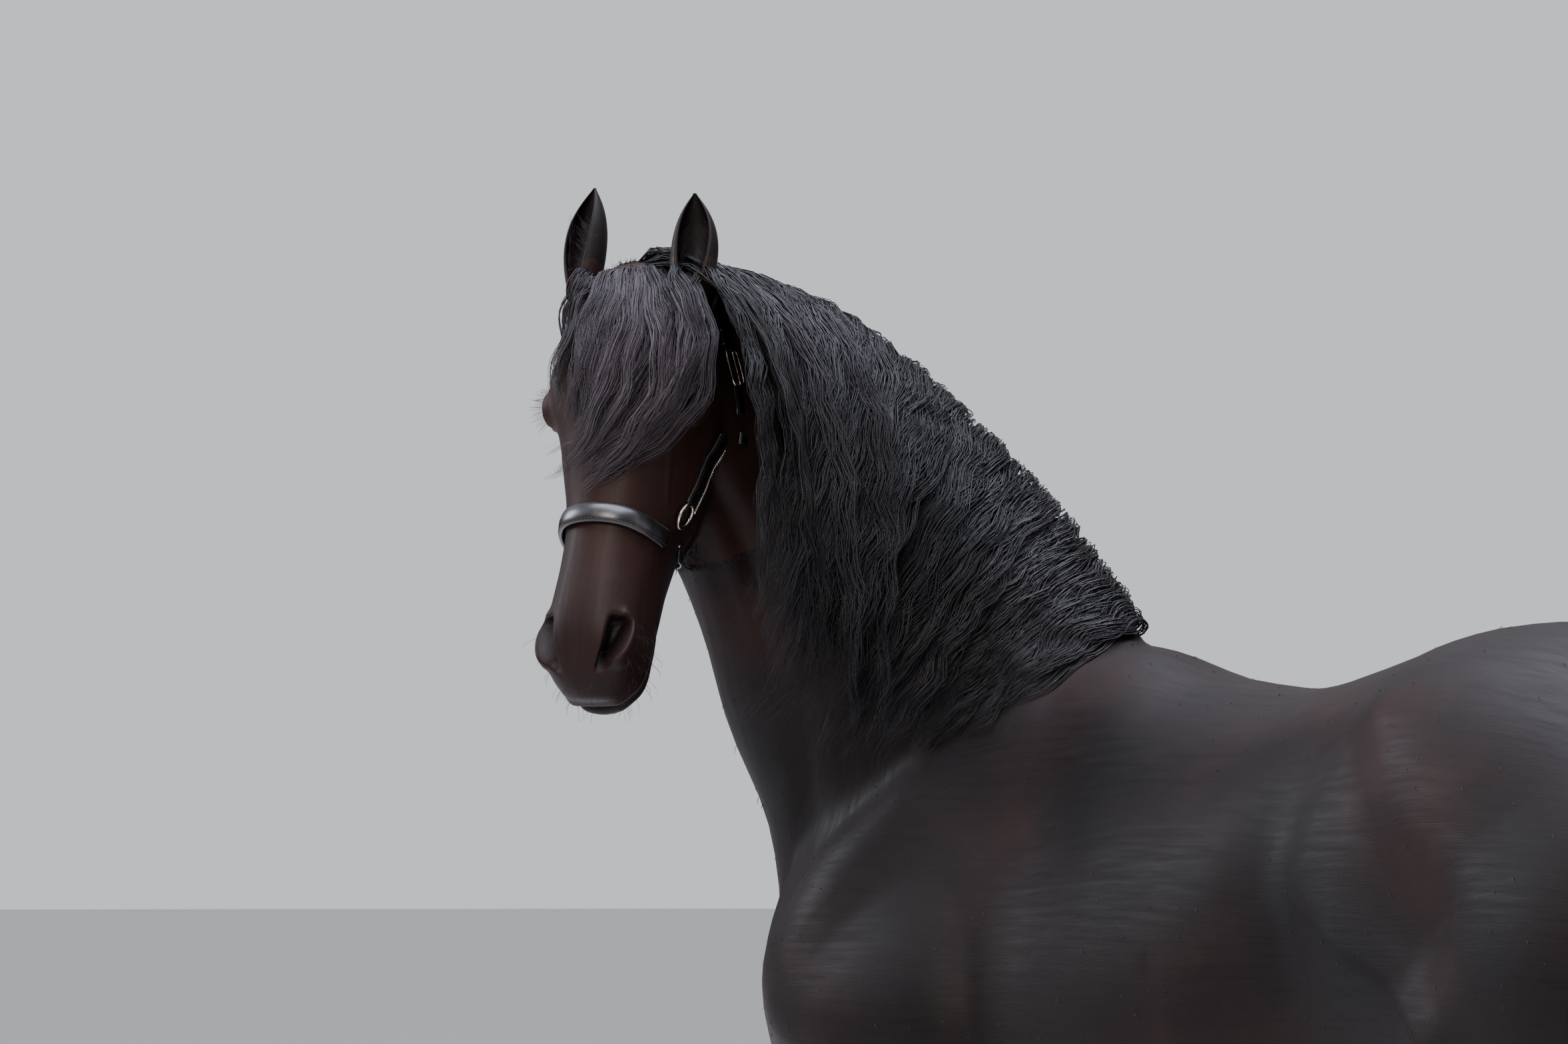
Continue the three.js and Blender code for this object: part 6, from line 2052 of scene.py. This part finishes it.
class HORSE_OT_headcollar(bpy.types.Operator):
    """Leather straps and metal rings of the headcollar"""
    bl_idname = "horse.headcollar"
    bl_label = "Headcollar"

    def execute(self, context):
        sizes, _ = settings()
        tree = skin_tree()
        leather = leather_material()
        # Waxed thread, duller and browner than the leather that it sits in
        waxed = {"Base Color": linear("#3a2b22"), "Roughness": 0.6}
        thread = new_material("waxed_brown_thread", waxed)[0]
        metal = metal_material("worn_silvery_brass", "#8a7f68", "#dcd5c4", 0.16, 0.34)
        width = sizes.strap_width

        def fan(start, end, inner):
            a, b = on_head(start[0], start[1], 0), on_head(end[0], end[1], 0)
            way = unit(b - a)
            middle = a + (b - a) * inner
            return middle, way, np.cross(RIGHT, way)

        def angle_of(middle, toward, place):
            away = place - middle
            return math.degrees(math.atan2(away @ RIGHT, away @ toward))

        def stitched(name, path, side, out, wide, height, rope=False):
            for row, hand in enumerate((1, -1)):
                line = path + side * (hand * wide * 0.37) + out * height
                beads(
                    f"{name}_stitches_{row + 1}", line, out, 0.0046, (0.0016, 0.00045, 0.0004), 0.0,
                    thread
                )
            if rope:
                line = path - side * (wide * 0.5 + 0.0012) + out * (height * 0.7)
                beads(f"{name}_rope", line, out, 0.0034, (0.0036, 0.0019, 0.0019), 0.75, metal)

        def strap(
            name, node, start, end, inner, angles, wide, thick, pad=0.0, flip=-1, rope=False, reach=0.6
        ):
            middle, way, across = fan(start, end, inner)
            path, normals = head_loop(tree, middle, way * flip, *angles(middle, way * flip), reach)
            made, side, out = band(path, normals, across[None, :], wide, thick, name, pad)
            dressed(made, leather, "leather", node)
            stitched(name, path, side, out, wide, 0.0006 + thick * 0.95 + pad * 0.45, rope)
            return path, side, out

        places = {}
        for side, hand in HANDS:
            places["cheek", side] = ring_place(tree, "cheek", side)
            places["top", side] = ring_place(tree, "top", side)

        def between(kind, spare):
            def angles(middle, toward):
                left = angle_of(middle, toward, places[kind, "left"][0])
                right = angle_of(middle, toward, places[kind, "right"][0])
                return (left + spare, right - spare) if spare >= 0 else (
                    right - spare, left + 360 + spare
                )
            return angles

        strap(
            "noseband", "headcollar_noseband", (336, 60), (364, CHEEK_RING[1] + 12), 0.7,
            between("cheek", 9), width * 1.14, 0.0056, 0.0036
        )
        strap(
            "chin_strap", "headcollar_chin_strap", (363, CHEEK_RING[1] - 14), (342, -260), 0.05,
            between("cheek", -9), width * 0.8, 0.0042, rope=True
        )
        path, side, out = strap(
            "crown_strap", "headcollar_crown", (TOP_RING[0] - 14, TOP_RING[1] + 4), CROWN, 0.45,
            between("top", 8), width * 0.9, 0.0045, 0.001, 1
        )
        # Only round the jaw: rays that run on into the neck are left out
        strap(
            "throatlatch", "headcollar_throatlatch", (TOP_RING[0], TOP_RING[1] - 14), (182, -330), 0.2,
            between("top", 8), width * 0.62, 0.0038, 0, 1, reach=0.14
        )
        # A buckle with its tongue and two keepers on either end of the crown strap
        run = np.concatenate([[0], np.cumsum(np.linalg.norm(np.diff(path, axis=0), axis=1))])
        for label, far in (("left", run[-1] - 0.062), ("right", 0.062)):
            spots = [np.stack([np.interp(far + step, run, field[:, k]) for k in range(3)])
                     for step in (0.0, 0.034, 0.052) for field in (path, side, out)]
            spot, aside, face = spots[:3]
            way = np.cross(aside, face)
            points, faces = wire(
                frame_path(spot + face * 0.006, face, way, 0.025, 0.0155, 0.4), face, 0.0019
            )
            dressed(new_object(f"buckle_{label}", points, faces, outward=True), metal, "brass")
            prong = spot + face * 0.0075 + np.outer(np.linspace(-0.024, 0.024, 9), way)
            points, faces = wire(prong, face, 0.0014, closed=False)
            dressed(new_object(f"tongue_{label}", points, faces, outward=True), metal, "brass")
            for k in (1, 2):
                spot, aside, face = spots[3 * k:3 * k + 3]
                loop = frame_path(
                    spot + face * 0.003, np.cross(aside, face), aside, width * 0.45 + 0.0018, 0.0040, 0.35
                )
                points, faces = wire(loop, np.cross(aside, face), 0.0021)
                dressed(
                    new_object(f"keeper_{label}_{k}", points, faces, outward=True), leather, "leather"
                )
        for side, hand in HANDS:
            low, _ = places["cheek", side]
            high, _ = places["top", side]
            path = low + np.outer(np.linspace(0.11, 0.89, 40), high - low)
            normals = []
            for k, place in enumerate(path):
                touch, face, _, _ = tree.find_nearest(Vector(place))
                path[k] = np.array(touch)
                normals.append(np.array(face))
            across = OUT - unit(high - low) * (OUT @ unit(high - low))
            made, sides, outs = band(
                path, unit(np.array(normals)), across[None, :], width * 0.92, 0.0048,
                f"cheek_strap_{side}", 0.001
            )
            dressed(made, leather, "leather", f"headcollar_cheek_strap_{side}")
            stitched(f"cheek_strap_{side}", path, sides, outs, width * 0.92, 0.0056, rope=True)
            for kind in ("cheek", "top"):
                centre, face = places[kind, side]
                points, faces = wire(frame_path(centre, face, DOWN, 0.017, 0.017), face, 0.003)
                ring_piece = new_object(f"{kind}_ring_{side}", points, faces, outward=True)
                dressed(ring_piece, metal, "brass", f"headcollar_{kind}_ring_{side}")
        return {"FINISHED"}


class HORSE_PT_panel(bpy.types.Panel):
    """The horse's pieces in the sidebar"""
    bl_label = "Friesian Horse"
    bl_space_type = "VIEW_3D"
    bl_region_type = "UI"
    bl_category = "Horse"

    def draw(self, context):
        column = self.layout.column(align=True)
        for operator in PIECES:
            column.operator(operator.bl_idname)
        for group in (context.scene.horse_sizes, context.scene.horse_colours):
            box = self.layout.box()
            for name in group.bl_rna.properties.keys():
                if name not in ("rna_type", "name"):
                    box.prop(group, name)


PIECES = (
    HORSE_OT_stage, HORSE_OT_skin, HORSE_OT_ears, HORSE_OT_eyes, HORSE_OT_hooves, HORSE_OT_mane,
    HORSE_OT_forelock, HORSE_OT_tail, HORSE_OT_feathers, HORSE_OT_fur, HORSE_OT_headcollar,
)
CLASSES = (HorseSizes, HorseColours, *PIECES, HORSE_PT_panel)


def register():
    """Adds the classes and the sidebar's settings."""
    for made in CLASSES:
        bpy.utils.register_class(made)
    bpy.types.Scene.horse_sizes = PointerProperty(type=HorseSizes)
    bpy.types.Scene.horse_colours = PointerProperty(type=HorseColours)


def unregister():
    """Takes them away again."""
    del bpy.types.Scene.horse_colours
    del bpy.types.Scene.horse_sizes
    for made in reversed(CLASSES):
        bpy.utils.unregister_class(made)


def main():
    register()
    for operator in PIECES:
        group, name = operator.bl_idname.split(".")
        getattr(getattr(bpy.ops, group), name)()


if __name__ == "__main__":
    main()
